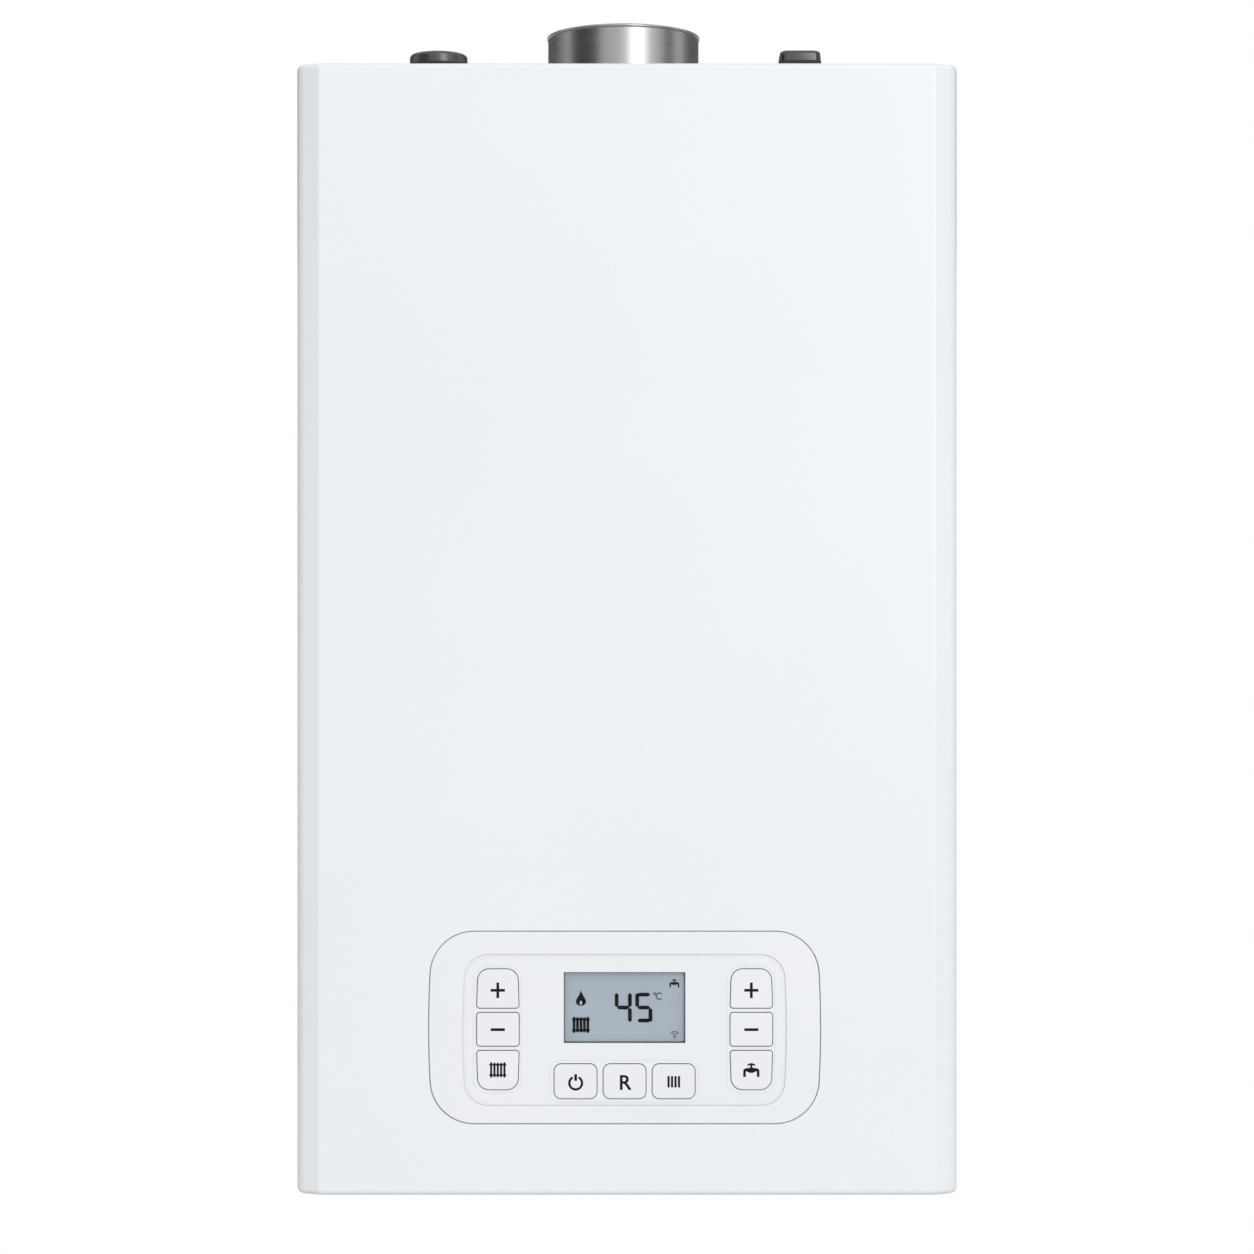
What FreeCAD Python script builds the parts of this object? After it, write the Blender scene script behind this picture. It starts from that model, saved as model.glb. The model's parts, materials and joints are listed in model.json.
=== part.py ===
import FreeCAD, Part
import os
import re

import Sketcher
from FreeCAD import Placement, Rotation, Vector

# Wall-mounted gas boiler. Millimetres; x runs to the right, y from the front to the wall, z up.
# The wall plane is y = 0 and the casing's bottom is z = 0.

# Driving sizes, one cell each
SIZES = {
    # casing
    "casing_width": 410, "casing_depth": 250, "casing_height": 700,
    "sheet": 1, "plate": 1.2, "seam": 0.4, "flange": 14, "fit": 0.3,
    "front_return": 30, "bevel_run": 14.6, "bevel_rise": 7.3,
    "corner_round": 9, "crease_round": 4, "rim_round": 3.5, "side_round": 1.5,
    "floor_height": 34, "lip_depth": 26, "panel_screw_inset": 75,
    "rail_depth": 24, "rail_width": 56, "rail_left_inset": 63, "rail_right_inset": 72,
    "rail_base": 60, "rail_end": 25,
    "hook_span": 160, "hook_drop": 45, "hook_slot": 24, "hook_radius": 5,
    "fixing_span": 160, "fixing_height": 330, "fixing_radius": 4,
    # screws
    "screw_radius": 2, "screw_hole": 2.2, "screw_head": 4, "screw_rise": 2.2, "screw_length": 4,
    "panel_screw_rise": 1,
    # flue and test sockets on the top
    "flue_x": -2.4, "collar_radius": 50, "collar_wall": 0.8, "collar_rise": 43,
    "collar_rim": 13, "collar_bead": 1.15, "collar_screw_side": 7, "gasket": 2, "flue_lip": 5,
    "inner_flue_wall": 0.7, "inner_flue_rise": 26,
    "socket_inset": 60, "plug_side": 85, "plug_radius": 18.4, "plug_rise": 17.2, "plug_head": 8.6,
    "plug_round": 2.6, "plug_overhang": 4.4, "plug_stem": 16, "socket_wall": 2, "socket_drop": 14,
    "cover_side": 95, "cover_width": 26.4, "cover_depth": 22, "cover_rise": 18.6, "cover_base": 5,
    "cover_round": 2.2, "cover_socket": 8, "cover_corner": 4.6, "cover_lug": 2.4,
    "cover_lug_rise": 6.6,
    # control panel
    "panel_x": -1.5,
    "bezel_width": 241.7, "bezel_height": 118.5, "bezel_bow": 2.8, "bezel_round": 27,
    "bezel_gap": 0.6, "bezel_base": 2, "bezel_rise": 1.8, "bezel_edge": 0.6,
    "recess_side": 20.65, "recess_end": 12.4, "recess_bow": 2, "recess_round": 15,
    "recess_drop": 0.8, "recess_shift": -1.5,
    "display_rest": 49.9, "display_end": 11.25, "display_round": 1.5,
    "display_drop": 0.8, "display_rim": 4.5,
    "column_inset": 21.9, "column_end": 9.65, "column_shift": -1.2, "key_width": 26, "key_taper": 0.8,
    "key_web": 2.9, "key_outer_round": 7, "key_inner_round": 1.8,
    "row_height": 21.3, "row_web": 4.1, "row_end": 4.4, "row_round": 4.3,
    "key_gap": 0.45, "key_rise": 0.9, "key_slack": 0.3, "key_margin": 1.1, "key_flange": 1.2,
    "key_stem": 2.7, "key_stem_width": 6, "key_edge": 0.7,
    "box_side": 7.15, "box_end": 9.45, "box_depth": 58, "box_wall": 2.2, "box_round": 4,
    "post_radius": 4.5, "post_inset": 9,
    "board_side": 15, "board_end": 16.7, "board_thickness": 1.6, "board_gap": 10.2,
    "board_post_inset": 9, "board_post_drop": 8, "small_screw": 1.5, "small_head": 3, "small_rise": 1.8,
    "switch_width": 6, "switch_height": 3.4, "plunger_radius": 1.7, "plunger_rise": 0.9,
    # sealed chamber and what it holds
    "chamber_setback": 36,
    "chamber_flange": 12, "cover_inset": 1.5, "cover_screw_inset": 6,
    "sight_rise": 10, "sight_hole": 13, "sight_radius": 18, "sight_glass": 4,
    "stack_setback": 20, "stack_rear": 36,
    "burner_lift": 10, "burner_gap": 4, "burner_blades": 11, "blade_width": 11,
    "burner_rail": 6, "insulation": 10,
    "core_fins": 24, "fin_width": 2, "core_end": 16, "core_tube": 8, "core_tubes": 4,
    "hood_gap": 2.2, "hood_neck_width": 96, "hood_neck_depth": 34,
    "fan_shift": 30, "fan_width": 46, "fan_wall": 1.5, "fan_drop": 19.59,
    "fan_inlet_inset": 22, "fan_rotor_gap": 8, "fan_rotor_width": 30, "fan_blades": 20, "fan_blade": 2,
    "fan_shaft": 4, "fan_motor_inset": 16, "fan_motor_length": 42, "spigot_wall": 1.5,
    "manifold_radius": 8, "manifold_setback": 11, "injector_radius": 3,
    "electrode_span": 80, "electrode_rise": 14, "ceramic_radius": 5, "electrode_radius": 1.5,
    # water and gas
    "vessel_side": 17, "vessel_width": 54, "vessel_setback": 72, "vessel_base": 240, "vessel_end": 11.4,
    "vessel_gap": 6,
    "vessel_round": 22, "vessel_rim": 14, "vessel_wall": 1.5,
    "union_drop": 15, "union_flange": 9, "union_top": 56,
    "thread_large": 13.2, "thread_small": 10.5, "union_margin": 4.5, "union_bore": 7.5,
    "pipe_radius": 9, "pipe_wall": 1, "port_radius": 12, "port_reach": 6,
    "pump_z": 166, "pump_width": 40, "pump_wall": 8, "pump_cavity_width": 20,
    "pump_rotor_gap": 4, "pump_rotor_width": 12, "pump_shaft": 4, "pump_port": 224,
    "pump_motor_inset": 4, "pump_clearance": 13.2, "pump_cap_radius": 14, "pump_cap": 4,
    "vessel_port_inset": 16,
    "tee_base": 66, "tee_top": 110,
    "diverter_side": 7, "diverter_top": 246, "diverter_wall": 6,
    "diverter_motor_rim": 2, "diverter_motor_height": 52, "diverter_inlet": 132,
    "spindle_radius": 4, "spindle_gap": 2, "spindle_disc_height": 6, "spindle_disc_z": 168,
    "spindle_stroke": 8,
    "exchanger_depth": 50, "exchanger_base": 176, "exchanger_height": 74,
    "exchanger_plates": 12, "exchanger_groove": 1.5, "exchanger_port_low": 195, "exchanger_port_high": 231,
    "return_drop_offset": 34,
    "valve_width": 62, "valve_depth": 78, "valve_drop": 178, "valve_height": 92, "valve_round": 6,
    "coil_radius": 15, "coil_length": 26, "valve_reach": 63,
    "relief_radius": 12, "relief_length": 30, "relief_z": 88, "relief_stem": 4, "relief_knob_radius": 15,
    "relief_knob_length": 14, "filling_gap": 1, "filling_width": 22, "filling_base": 54, "filling_height": 22,
    "filling_stem": 4, "knob_gap": 3.3, "filling_knob_length": 16, "filling_knob_z": 10,
    "gland_side": 45, "gland_radius": 9, "gland_bore": 4.5, "gland_drop": 22,
}

# Levels and faces worked out from the driving sizes
PLACES = {
    "half_width": "casing_width / 2",
    "front_y": "-casing_depth",
    "return_y": "-(casing_depth - front_return)",
    "side_y": "return_y + seam",
    "inner_half": "half_width - flange - seam",
    "rail_y": "-(plate + rail_depth)",
    "rail_left": "-(half_width - rail_left_inset)",
    "rail_right": "half_width - rail_right_inset",
    "rail_height": "casing_height - rail_base - rail_end",
    "hook_height": "casing_height - hook_drop",
    "panel_screw_span": "casing_width - 2 * panel_screw_inset",
    "top_z": "casing_height - sheet - seam",
    "under_top": "top_z - plate",
    "floor_z": "floor_height + plate",
    "lip_z": "sheet + seam",
    "panel_screw_y": "-(casing_depth - front_return / 2)",
    "flue_offset": "casing_depth * 0.428",
    "flue_y": "-(flue_offset)",
    "collar_top": "casing_height + collar_rise",
    "collar_flange": "collar_radius + collar_rim",
    "collar_screw_ring": "collar_radius + collar_screw_side",
    "flue_opening": "collar_radius - flue_lip",
    "inner_flue_radius": "collar_radius * 0.6",
    "socket_y": "-(casing_depth - socket_inset)",
    "plug_x": "-(half_width - plug_side)",
    "plug_top": "top_z + plug_rise",
    "plug_socket": "plug_radius - plug_overhang",
    "cover_x": "half_width - cover_side",
    "cover_top": "top_z + cover_rise",
    "plug_base": "plug_top - plug_head",
    "cover_seat": "top_z + cover_base",
    "bezel_back": "casing_depth - bezel_rise - bezel_base",
    "bezel_shoulder": "casing_depth - bezel_rise",
    "recess_level": "casing_depth - recess_drop",
    "key_back": "bezel_back - key_slack - key_flange",
    "box_back": "bezel_back - box_depth",
    "box_width": "bezel_width + 2 * box_side",
    "box_tall": "bezel_height + 2 * box_end",
    "panel_z": "floor_z + box_tall / 2",
    "recess_width": "bezel_width - 2 * recess_side",
    "recess_height": "bezel_height - 2 * recess_end",
    "display_width": "recess_width * 0.375",
    "display_height": "recess_height - display_rest",
    "display_shift": "recess_shift + recess_height / 2 - display_end - display_height / 2",
    "column_span": "recess_width - 2 * column_inset",
    "column_rise": "recess_height - 2 * column_end - 2 * key_web",
    "key_middle": "column_rise * 0.3",
    "key_end": "column_rise * 0.35",
    "row_width": "recess_width * 0.1307",
    "row_pitch": "row_width + row_web",
    "row_shift": "recess_shift - recess_height / 2 + row_end + row_height / 2",
    "board_width": "box_width - 2 * board_side",
    "board_height": "box_tall - 2 * board_end",
    "board_post_x": "board_width / 2 - board_post_inset",
    "board_post_z": "board_height / 2 - board_post_drop",
    "board_face": "bezel_back - board_gap",
    "board_back": "board_face - board_thickness",
    "vessel_left": "half_width - vessel_side - vessel_width",
    "chamber_left": "-half_width * 0.9073",
    "chamber_right": "vessel_left - vessel_gap",
    "chamber_base": "casing_height * 0.56",
    "chamber_depth": "casing_depth - chamber_setback",
    "chamber_height": "under_top - (chamber_base)",
    "chamber_y": "-(chamber_depth)",
    "chamber_width": "chamber_right - (chamber_left)",
    "stack_left": "chamber_left + chamber_width * 0.153",
    "stack_right": "chamber_right - chamber_width * 0.14",
    "stack_front": "chamber_depth - stack_setback",
    "stack_width": "stack_right - (stack_left)",
    "stack_x": "(stack_right + stack_left) / 2",
    "stack_depth": "stack_front - stack_rear",
    "burner_base": "chamber_base + burner_lift",
    "burner_height": "chamber_height * 0.118",
    "box_base": "burner_base + burner_height + burner_gap",
    "box_height": "chamber_height * 0.255",
    "core_base": "box_base + box_height",
    "core_height": "chamber_height * 0.131",
    "core_top": "core_base + core_height",
    "fan_radius": "chamber_height * 0.15",
    "fan_z": "under_top - fan_radius - fan_drop",
    "hood_top": "fan_z - fan_radius - hood_gap",
    "hood_height": "hood_top - (core_top)",
    "sight_z": "box_base + sight_rise",
    "electrode_z": "box_base + electrode_rise",
    "manifold_z": "burner_base + burner_height * 0.36",
    "manifold_offset": "chamber_depth - manifold_setback",
    "fan_x": "flue_x - fan_shift",
    "fan_inlet": "fan_radius - fan_inlet_inset",
    "fan_rotor_radius": "fan_radius - fan_rotor_gap",
    "fan_motor_radius": "fan_radius - fan_motor_inset",
    "fan_front": "flue_offset + fan_width / 2",
    "fan_rear": "flue_offset - fan_width / 2",
    "spigot_radius": "inner_flue_radius + fit + spigot_wall",
    "union_pitch": "casing_width * 13 / 82",
    "union_offset": "casing_depth * 0.34",
    "union_y": "-(union_offset)",
    "pipe_bend": "union_pitch * 0.23",
    "flow_x": "-2 * union_pitch",
    "return_x": "2 * union_pitch",
    "pump_front": "union_offset + pump_width / 2",
    "pump_radius": "union_pitch * 0.677",
    "pump_cavity": "pump_radius - pump_wall",
    "pump_rotor_radius": "pump_cavity - pump_rotor_gap",
    "pump_motor_radius": "pump_radius - pump_motor_inset",
    "pump_motor_length": "box_back - (pump_front) - pump_cap - pump_clearance",
    "riser_x": "union_pitch + (chamber_right - (union_pitch)) * 0.6825",
    "vessel_port_x": "vessel_left + vessel_port_inset",
    "vessel_depth": "casing_depth - vessel_setback",
    "vessel_height": "under_top - vessel_base - vessel_end",
    "tee_width": "union_pitch * 0.677",
    "diverter_radius": "union_pitch * 0.338",
    "diverter_bore": "diverter_radius - diverter_side",
    "diverter_motor_radius": "diverter_radius + diverter_motor_rim",
    "diverter_pipe_x": "chamber_left + union_pitch * 0.215",
    "spindle_disc": "diverter_bore - spindle_gap",
    "exchanger_width": "union_pitch * 2.46",
    "exchanger_y": "-(plate + exchanger_depth)",
    "return_drop_x": "union_pitch * 1.446",
    "valve_base": "chamber_base - valve_drop",
    "valve_front": "union_offset + valve_reach",
    "filling_x": "return_x - tee_width / 2 - filling_gap - filling_width / 2",
    "filling_knob_radius": "return_x - filling_x - thread_large - union_margin - knob_gap",
    "gland_x": "-(half_width - gland_side)",
    "gland_offset": "casing_depth * 0.6",
    "relief_front": "union_offset + tee_width / 2 + relief_length",
}

TURNS = {
    "x": Rotation(Vector(0, 0, 1), Vector(1, 0, 0)),
    "y": Rotation(Vector(0, 0, 1), Vector(0, 1, 0)),
    "z": Rotation(),
}

doc = FreeCAD.newDocument("wall_gas_boiler")
sheet = doc.addObject("Spreadsheet::Sheet", "Sizes")
for row, (alias, size) in enumerate(SIZES.items(), 1):
    sheet.set(f"A{row}", alias)
    sheet.set(f"B{row}", str(size))
    sheet.setAlias(f"B{row}", alias)
doc.recompute()
pieces = []


# Formulas and plain solids
def formula(text):
    """Turn a formula of size and place names into an expression on the sheet."""
    def cell(match):
        word = match.group(0)
        if word in PLACES:
            return f"({formula(PLACES[word])})"
        return f"Sizes.{word}" if word in SIZES else word
    return re.sub(r"[a-z][a-z0-9_]*", cell, str(text))


def number(text):
    """Return the present value of a formula."""
    return float(sheet.evalExpression(formula(text)))


def bind(item, **formulas):
    """Bind properties of an object to formulas."""
    for name, text in formulas.items():
        item.setExpression(name, formula(text))
    return item


def place(item, x, y, z, turn="z"):
    """Bind an object's position, with its own axis turned along x, y or z."""
    item.Placement = Placement(Vector(), TURNS[turn])
    for axis, text in zip("xyz", (x, y, z)):
        item.setExpression(f"Placement.Base.{axis}", formula(text))
    return item


def block(name, x, y, z, dx, dy, dz):
    """A box from its lowest corner and its three sizes."""
    item = doc.addObject("Part::Box", name)
    bind(item, Length=dx, Width=dy, Height=dz)
    return place(item, x, y, z)


def rod(name, x, y, z, radius, length, axis="z"):
    """A cylinder from the middle of its first end."""
    item = doc.addObject("Part::Cylinder", name)
    bind(item, Radius=radius, Height=length)
    return place(item, x, y, z, axis)


def prism(name, x, y, z, radius, length, axis="z", sides=6):
    """A regular prism, such as a hexagon nut, from the middle of its first end."""
    item = doc.addObject("Part::Prism", name)
    item.Polygon = sides
    bind(item, Circumradius=radius, Height=length)
    return place(item, x, y, z, axis)


def ring(name, x, y, z, radius, wire):
    """A torus lying flat."""
    item = doc.addObject("Part::Torus", name)
    bind(item, Radius1=radius, Radius2=wire)
    return place(item, x, y, z)


def join(name, *parts):
    """One solid from several that touch or overlap."""
    item = doc.addObject("Part::MultiFuse", name)
    item.Shapes = list(parts)
    item.Refine = True
    return item


def group(name, *parts):
    """Separate solids kept in one object."""
    item = doc.addObject("Part::Compound", name)
    item.Links = list(parts)
    return item


def cut(name, base, *tools):
    """A base less its tools."""
    item = doc.addObject("Part::Cut", name)
    item.Base = base
    item.Tool = tools[0] if len(tools) == 1 else group(f"{name}_cuts", *tools)
    return item


def common(name, base, tool):
    """What two solids share."""
    item = doc.addObject("Part::Common", name)
    item.Base, item.Tool = base, tool
    return item


def tube(name, x, y, z, radius, bore, length, axis="z"):
    """A hollow cylinder, open at both ends."""
    outer = rod(f"{name}_outer", x, y, z, radius, length, axis)
    inner = rod(f"{name}_inner", x, y, z, bore, length, axis)
    return cut(name, outer, inner)


def screw(name, x, y, z, length, down=False):
    """A pan head screw: its head faces the front, or upwards if it points down."""
    if down:
        head = rod(f"{name}_head", x, y, z, "screw_head", "screw_rise")
        shank = rod(f"{name}_shank", x, y, f"{z} - ({length})", "screw_radius", length)
    else:
        head = rod(f"{name}_head", x, f"{y} - screw_rise", z, "screw_head", "screw_rise", "y")
        shank = rod(f"{name}_shank", x, y, z, "screw_radius", length, "y")
    return join(name, head, shank)


def pipe(name, points, radius="pipe_radius", bend="pipe_bend"):
    """A hollow pipe along straight runs with rounded bends."""
    corners = [Vector(*(number(text) for text in point)) for point in points]
    turn, runs, start = number(bend), [], corners[0]
    for before, here, after in zip(corners, corners[1:], corners[2:]):
        back, ahead = (before - here).normalize(), (after - here).normalize()
        arc_start, arc_end = here + back * turn, here + ahead * turn
        centre = here + (back + ahead) * turn
        middle = centre + (here - centre).normalize() * turn
        runs.append(Part.LineSegment(start, arc_start).toShape())
        runs.append(Part.Arc(arc_start, middle, arc_end).toShape())
        start = arc_end
    runs.append(Part.LineSegment(start, corners[-1]).toShape())
    route = Part.Wire(runs)

    def swept(size):
        hoop = Part.Wire(Part.makeCircle(size, corners[0], corners[1] - corners[0]))
        return route.makePipeShell([hoop], True, False)
    item = doc.addObject("Part::Feature", name)
    item.Shape = swept(number(radius)).cut(swept(number(f"{radius} - pipe_wall")))
    return item


def piece(label, item):
    """Name a finished sub-part."""
    item.Label = label
    pieces.append(item)
    return item


# Sketched bodies
class Body:
    """A PartDesign body made from sketches on its own origin planes.

    A sketch on XY has its level along +z, one on XZ along -y (towards the front), one on YZ along +x.
    """

    def __init__(self, label):
        self.body = doc.addObject("PartDesign::Body", label)
        self.planes = {item.Role: item for item in self.body.Origin.OriginFeatures}
        self.label = label

    def feature(self, kind, word):
        """Add a feature to the body."""
        return self.body.newObject(kind, f"{self.label}_{word}")

    def sketch(self, plane, level):
        """An empty sketch at a level in front of an origin plane."""
        drawing = self.feature("Sketcher::SketchObject", "sketch")
        drawing.AttachmentSupport = (self.planes[f"{plane}_Plane"], "")
        drawing.MapMode = "FlatFace"
        drawing.setExpression("AttachmentOffset.Base.z", formula(level))
        return drawing

    def pad(self, drawing, length, back=False):
        """Add material along the sketch's level direction, or against it."""
        item = self.feature("PartDesign::Pad", "pad")
        item.Profile = drawing
        item.Reversed = back
        bind(item, Length=length)
        doc.recompute()
        return item

    def pocket(self, drawing, depth):
        """Take material away against the sketch's level direction."""
        item = self.feature("PartDesign::Pocket", "pocket")
        item.Profile = drawing
        bind(item, Length=depth)
        doc.recompute()
        return item

    def fillet(self, radius, wanted):
        """Round the edges that a test picks."""
        tip = self.body.Tip
        names = [f"Edge{i}" for i, edge in enumerate(tip.Shape.Edges, 1) if wanted(edge)]
        item = self.feature("PartDesign::Fillet", "fillet")
        item.Base = (tip, names)
        bind(item, Radius=radius)
        doc.recompute()
        return item

    def shell(self, wall, wanted):
        """Hollow the body, open at the faces that a test picks."""
        tip = self.body.Tip
        names = [f"Face{i}" for i, face in enumerate(tip.Shape.Faces, 1) if wanted(face)]
        item = self.feature("PartDesign::Thickness", "shell")
        item.Base = (tip, names)
        item.Reversed = True
        bind(item, Value=wall)
        doc.recompute()
        return item


def close(value, text):
    """Whether a coordinate lies at a formula's value."""
    return abs(value - number(text)) < 0.01


def runs(edge, axis):
    """Whether an edge is straight along x, y or z."""
    if edge.Curve.TypeId != "Part::GeomLine":
        return False
    return abs(getattr(edge.Curve.Direction, axis)) > 0.999


def fix_point(drawing, line, x, y):
    """Bind the start of a line to formulas."""
    for kind, text in (("DistanceX", x), ("DistanceY", y)):
        rule = drawing.addConstraint(Sketcher.Constraint(kind, -1, 1, line, 1, number(text)))
        drawing.setExpression(f"Constraints[{rule}]", formula(text))


def polygon(drawing, points):
    """A closed outline of straight lines through bound corners."""
    first, count = drawing.GeometryCount, len(points)
    spots = [Vector(number(x), number(y), 0) for x, y in points]
    for i in range(count):
        drawing.addGeometry(Part.LineSegment(spots[i], spots[(i + 1) % count]))
    for i in range(count):
        drawing.addConstraint(Sketcher.Constraint("Coincident", first + i, 2, first + (i + 1) % count, 1))
    for i, (x, y) in enumerate(points):
        fix_point(drawing, first + i, x, y)
    return drawing


def rectangle(drawing, x, y, width, height):
    """A rectangle about its middle."""
    left, right = f"{x} - ({width}) / 2", f"{x} + ({width}) / 2"
    low, high = f"{y} - ({height}) / 2", f"{y} + ({height}) / 2"
    return polygon(drawing, [(left, low), (right, low), (right, high), (left, high)])


def barrel(drawing, x, y, width, height, bow):
    """A rectangle about its middle whose left and right sides bow outwards."""
    half, rise = f"({width}) / 2 - ({bow})", f"({height}) / 2"
    radius = f"(({rise}) * ({rise}) + ({bow}) * ({bow})) / (2 * ({bow}))"
    middle_x, middle_y, tall = number(x), number(y), number(rise)
    narrow, wide = number(half), number(f"({width}) / 2")
    corners = [(f"{x} + {sx} * ({half})", f"{y} + {sy} * ({rise})")
               for sx, sy in ((-1, -1), (1, -1), (1, 1), (-1, 1))]
    spots = [Vector(number(a), number(b), 0) for a, b in corners]
    right, left = Vector(middle_x + wide, middle_y, 0), Vector(middle_x - wide, middle_y, 0)
    bottom_line = drawing.addGeometry(Part.LineSegment(spots[0], spots[1]))
    right_arc = drawing.addGeometry(Part.Arc(spots[1], right, spots[2]))
    top_line = drawing.addGeometry(Part.LineSegment(spots[2], spots[3]))
    left_arc = drawing.addGeometry(Part.Arc(spots[3], left, spots[0]))
    meets = ((bottom_line, 2, right_arc, 1), (right_arc, 2, top_line, 1))
    meets += ((top_line, 2, left_arc, 1), (left_arc, 2, bottom_line, 1))
    for meeting in meets:
        drawing.addConstraint(Sketcher.Constraint("Coincident", *meeting))
    for line, (a, b) in zip((bottom_line, right_arc, top_line, left_arc), corners):
        fix_point(drawing, line, a, b)
    for arc in (right_arc, left_arc):
        rule = drawing.addConstraint(Sketcher.Constraint("Radius", arc, number(radius)))
        drawing.setExpression(f"Constraints[{rule}]", formula(radius))
    return drawing


def circle(drawing, x, y, radius):
    """A bound circle."""
    spot = Vector(number(x), number(y), 0)
    hoop = drawing.addGeometry(Part.Circle(spot, Vector(0, 0, 1), number(radius)))
    rule = drawing.addConstraint(Sketcher.Constraint("Radius", hoop, number(radius)))
    drawing.setExpression(f"Constraints[{rule}]", formula(radius))
    for kind, text in (("DistanceX", x), ("DistanceY", y)):
        rule = drawing.addConstraint(Sketcher.Constraint(kind, -1, 1, hoop, 3, number(text)))
        drawing.setExpression(f"Constraints[{rule}]", formula(text))
    return drawing


def rounded_block(label, x, y, z, dx, dy, dz, radius):
    """A box from its lowest corner with its upright edges rounded."""
    body = Body(label)
    points = [(x, y), (f"{x} + {dx}", y), (f"{x} + {dx}", f"{y} + {dy}"), (x, f"{y} + {dy}")]
    body.pad(polygon(body.sketch("XY", z), points), dz)
    body.fillet(radius, lambda edge: runs(edge, "z"))
    return body


# Casing
SIDES = {"left": -1, "right": 1}
SIDE_SCREWS = ("120", "casing_height / 2", "casing_height - 60")
COLLAR_SCREWS = ((1, 1), (1, -1), (-1, 1), (-1, -1))


def side_screw_spots():
    """Where the side panels' rear flanges are screwed to the rear frame."""
    for side, sign in SIDES.items():
        for row, z in enumerate(SIDE_SCREWS):
            yield f"{side}_{row}", f"{sign} * (half_width - flange / 2)", z


def collar_screw_spots():
    """Where the flue collar is screwed to the top plate."""
    reach = "collar_screw_ring * sqrt(0.5)"
    for index, (sx, sy) in enumerate(COLLAR_SCREWS):
        yield index, f"flue_x + {sx} * {reach}", f"flue_y + {sy} * {reach}"


def cover_screw_spots():
    """Where the chamber cover is screwed on."""
    inset = "cover_inset + cover_screw_inset"
    middle = "(chamber_base + under_top) / 2"
    columns = (f"chamber_left + {inset}", f"chamber_right - ({inset})")
    rows = (f"chamber_base + {inset}", middle, f"under_top - ({inset})")
    for column, x in enumerate(columns):
        for row, z in enumerate(rows):
            yield f"{column}_{row}", x, z


def rear_frame():
    """The plate that hangs on the wall, with two hat rails that carry the inside."""
    width = "half_width - sheet - seam"
    back = block("frame_back", f"-({width})", "-plate", 0, f"2 * ({width})", "plate", "casing_height")
    rails = []
    for side in SIDES:
        edge = f"rail_{side} - rail_width / 2"
        outer = block(f"rail_{side}_outer", edge, "rail_y", "rail_base", "rail_width", "rail_depth",
                      "rail_height")
        inner = block(f"rail_{side}_inner", f"{edge} + plate", "rail_y + plate", "rail_base - plate",
                      "rail_width - 2 * plate", "rail_depth - plate", "rail_height + 2 * plate")
        rails.append(cut(f"rail_{side}", outer, inner))
    holes = []
    for side, sign in SIDES.items():
        slot = "hook_slot / 2 - hook_radius"
        middle = f"{sign} * hook_span / 2"
        ends = [rod(f"hook_{side}_{end}", f"{middle} + {end} * ({slot})", "-2 * plate", "hook_height",
                    "hook_radius", "3 * plate", "y") for end in (-1, 1)]
        bar = block(f"hook_{side}_bar", f"{middle} - ({slot})", "-2 * plate", "hook_height - hook_radius",
                    f"2 * ({slot})", "3 * plate", "2 * hook_radius")
        holes.append(join(f"hook_{side}", bar, *ends))
        holes.append(rod(f"fixing_{side}", f"{sign} * fixing_span / 2", "-2 * plate", "fixing_height",
                         "fixing_radius", "3 * plate", "y"))
    for name, x, z in side_screw_spots():
        holes.append(rod(f"frame_hole_{name}", x, "-2 * plate", z, "screw_hole", "3 * plate", "y"))
    piece("rear_frame", group("rear_frame", cut("frame_sheet", back, *holes), *rails))


def side_panel(side, sign):
    """A tray of sheet, as a flat skin, four folds and four flanges that turn inwards."""
    body = Body(f"{side}_tray")
    outer, inner = f"{sign} * half_width", f"{sign} * (half_width - flange)"
    points = [(inner, "side_y"), (outer, "side_y"), (outer, "-plate"), (inner, "-plate")]
    body.pad(polygon(body.sketch("XY", 0), points), "casing_height")
    at_outer = lambda edge: close(edge.CenterOfMass.x, outer)
    body.fillet("rim_round", lambda edge: at_outer(edge) and runs(edge, "y"))
    body.fillet("side_round", lambda edge: at_outer(edge) and runs(edge, "z"))
    body.shell("sheet", lambda face: close(face.CenterOfMass.x, inner))
    drawing = body.sketch("XZ", "plate + 2 * sheet")
    for name, x, z in side_screw_spots():
        if name.startswith(side):
            circle(drawing, x, z, "screw_hole")
    body.pocket(drawing, "3 * sheet")
    starts = ("-half_width", "sheet - half_width", "rim_round - half_width")
    if sign > 0:
        starts = ("half_width - sheet", "half_width - rim_round", "half_width - flange")
    deep, half = "-side_y - plate", "casing_height / 2"
    cells = {"skin": (starts[0], "side_y", 0, "sheet", deep, "casing_height")}
    for word, start, span, wall in (("fold", starts[1], "rim_round - sheet", "rim_round"),
                                    ("flange", starts[2], "flange - rim_round", "sheet")):
        middle = f"{deep} - 2 * {wall}"
        cells[f"front_{word}"] = (start, "side_y", 0, span, wall, "casing_height")
        cells[f"rear_{word}"] = (start, f"-plate - {wall}", 0, span, wall, "casing_height")
        cells[f"base_{word}"] = (start, f"side_y + {wall}", 0, span, middle, half)
        cells[f"top_{word}"] = (start, f"side_y + {wall}", half, span, middle, half)
    strips = [common(f"{side}_panel_{word}", body.body, block(f"{side}_cell_{word}", *cell))
              for word, cell in cells.items()]
    piece(f"{side}_side_panel", group(f"{side}_side_panel", *strips))


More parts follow.
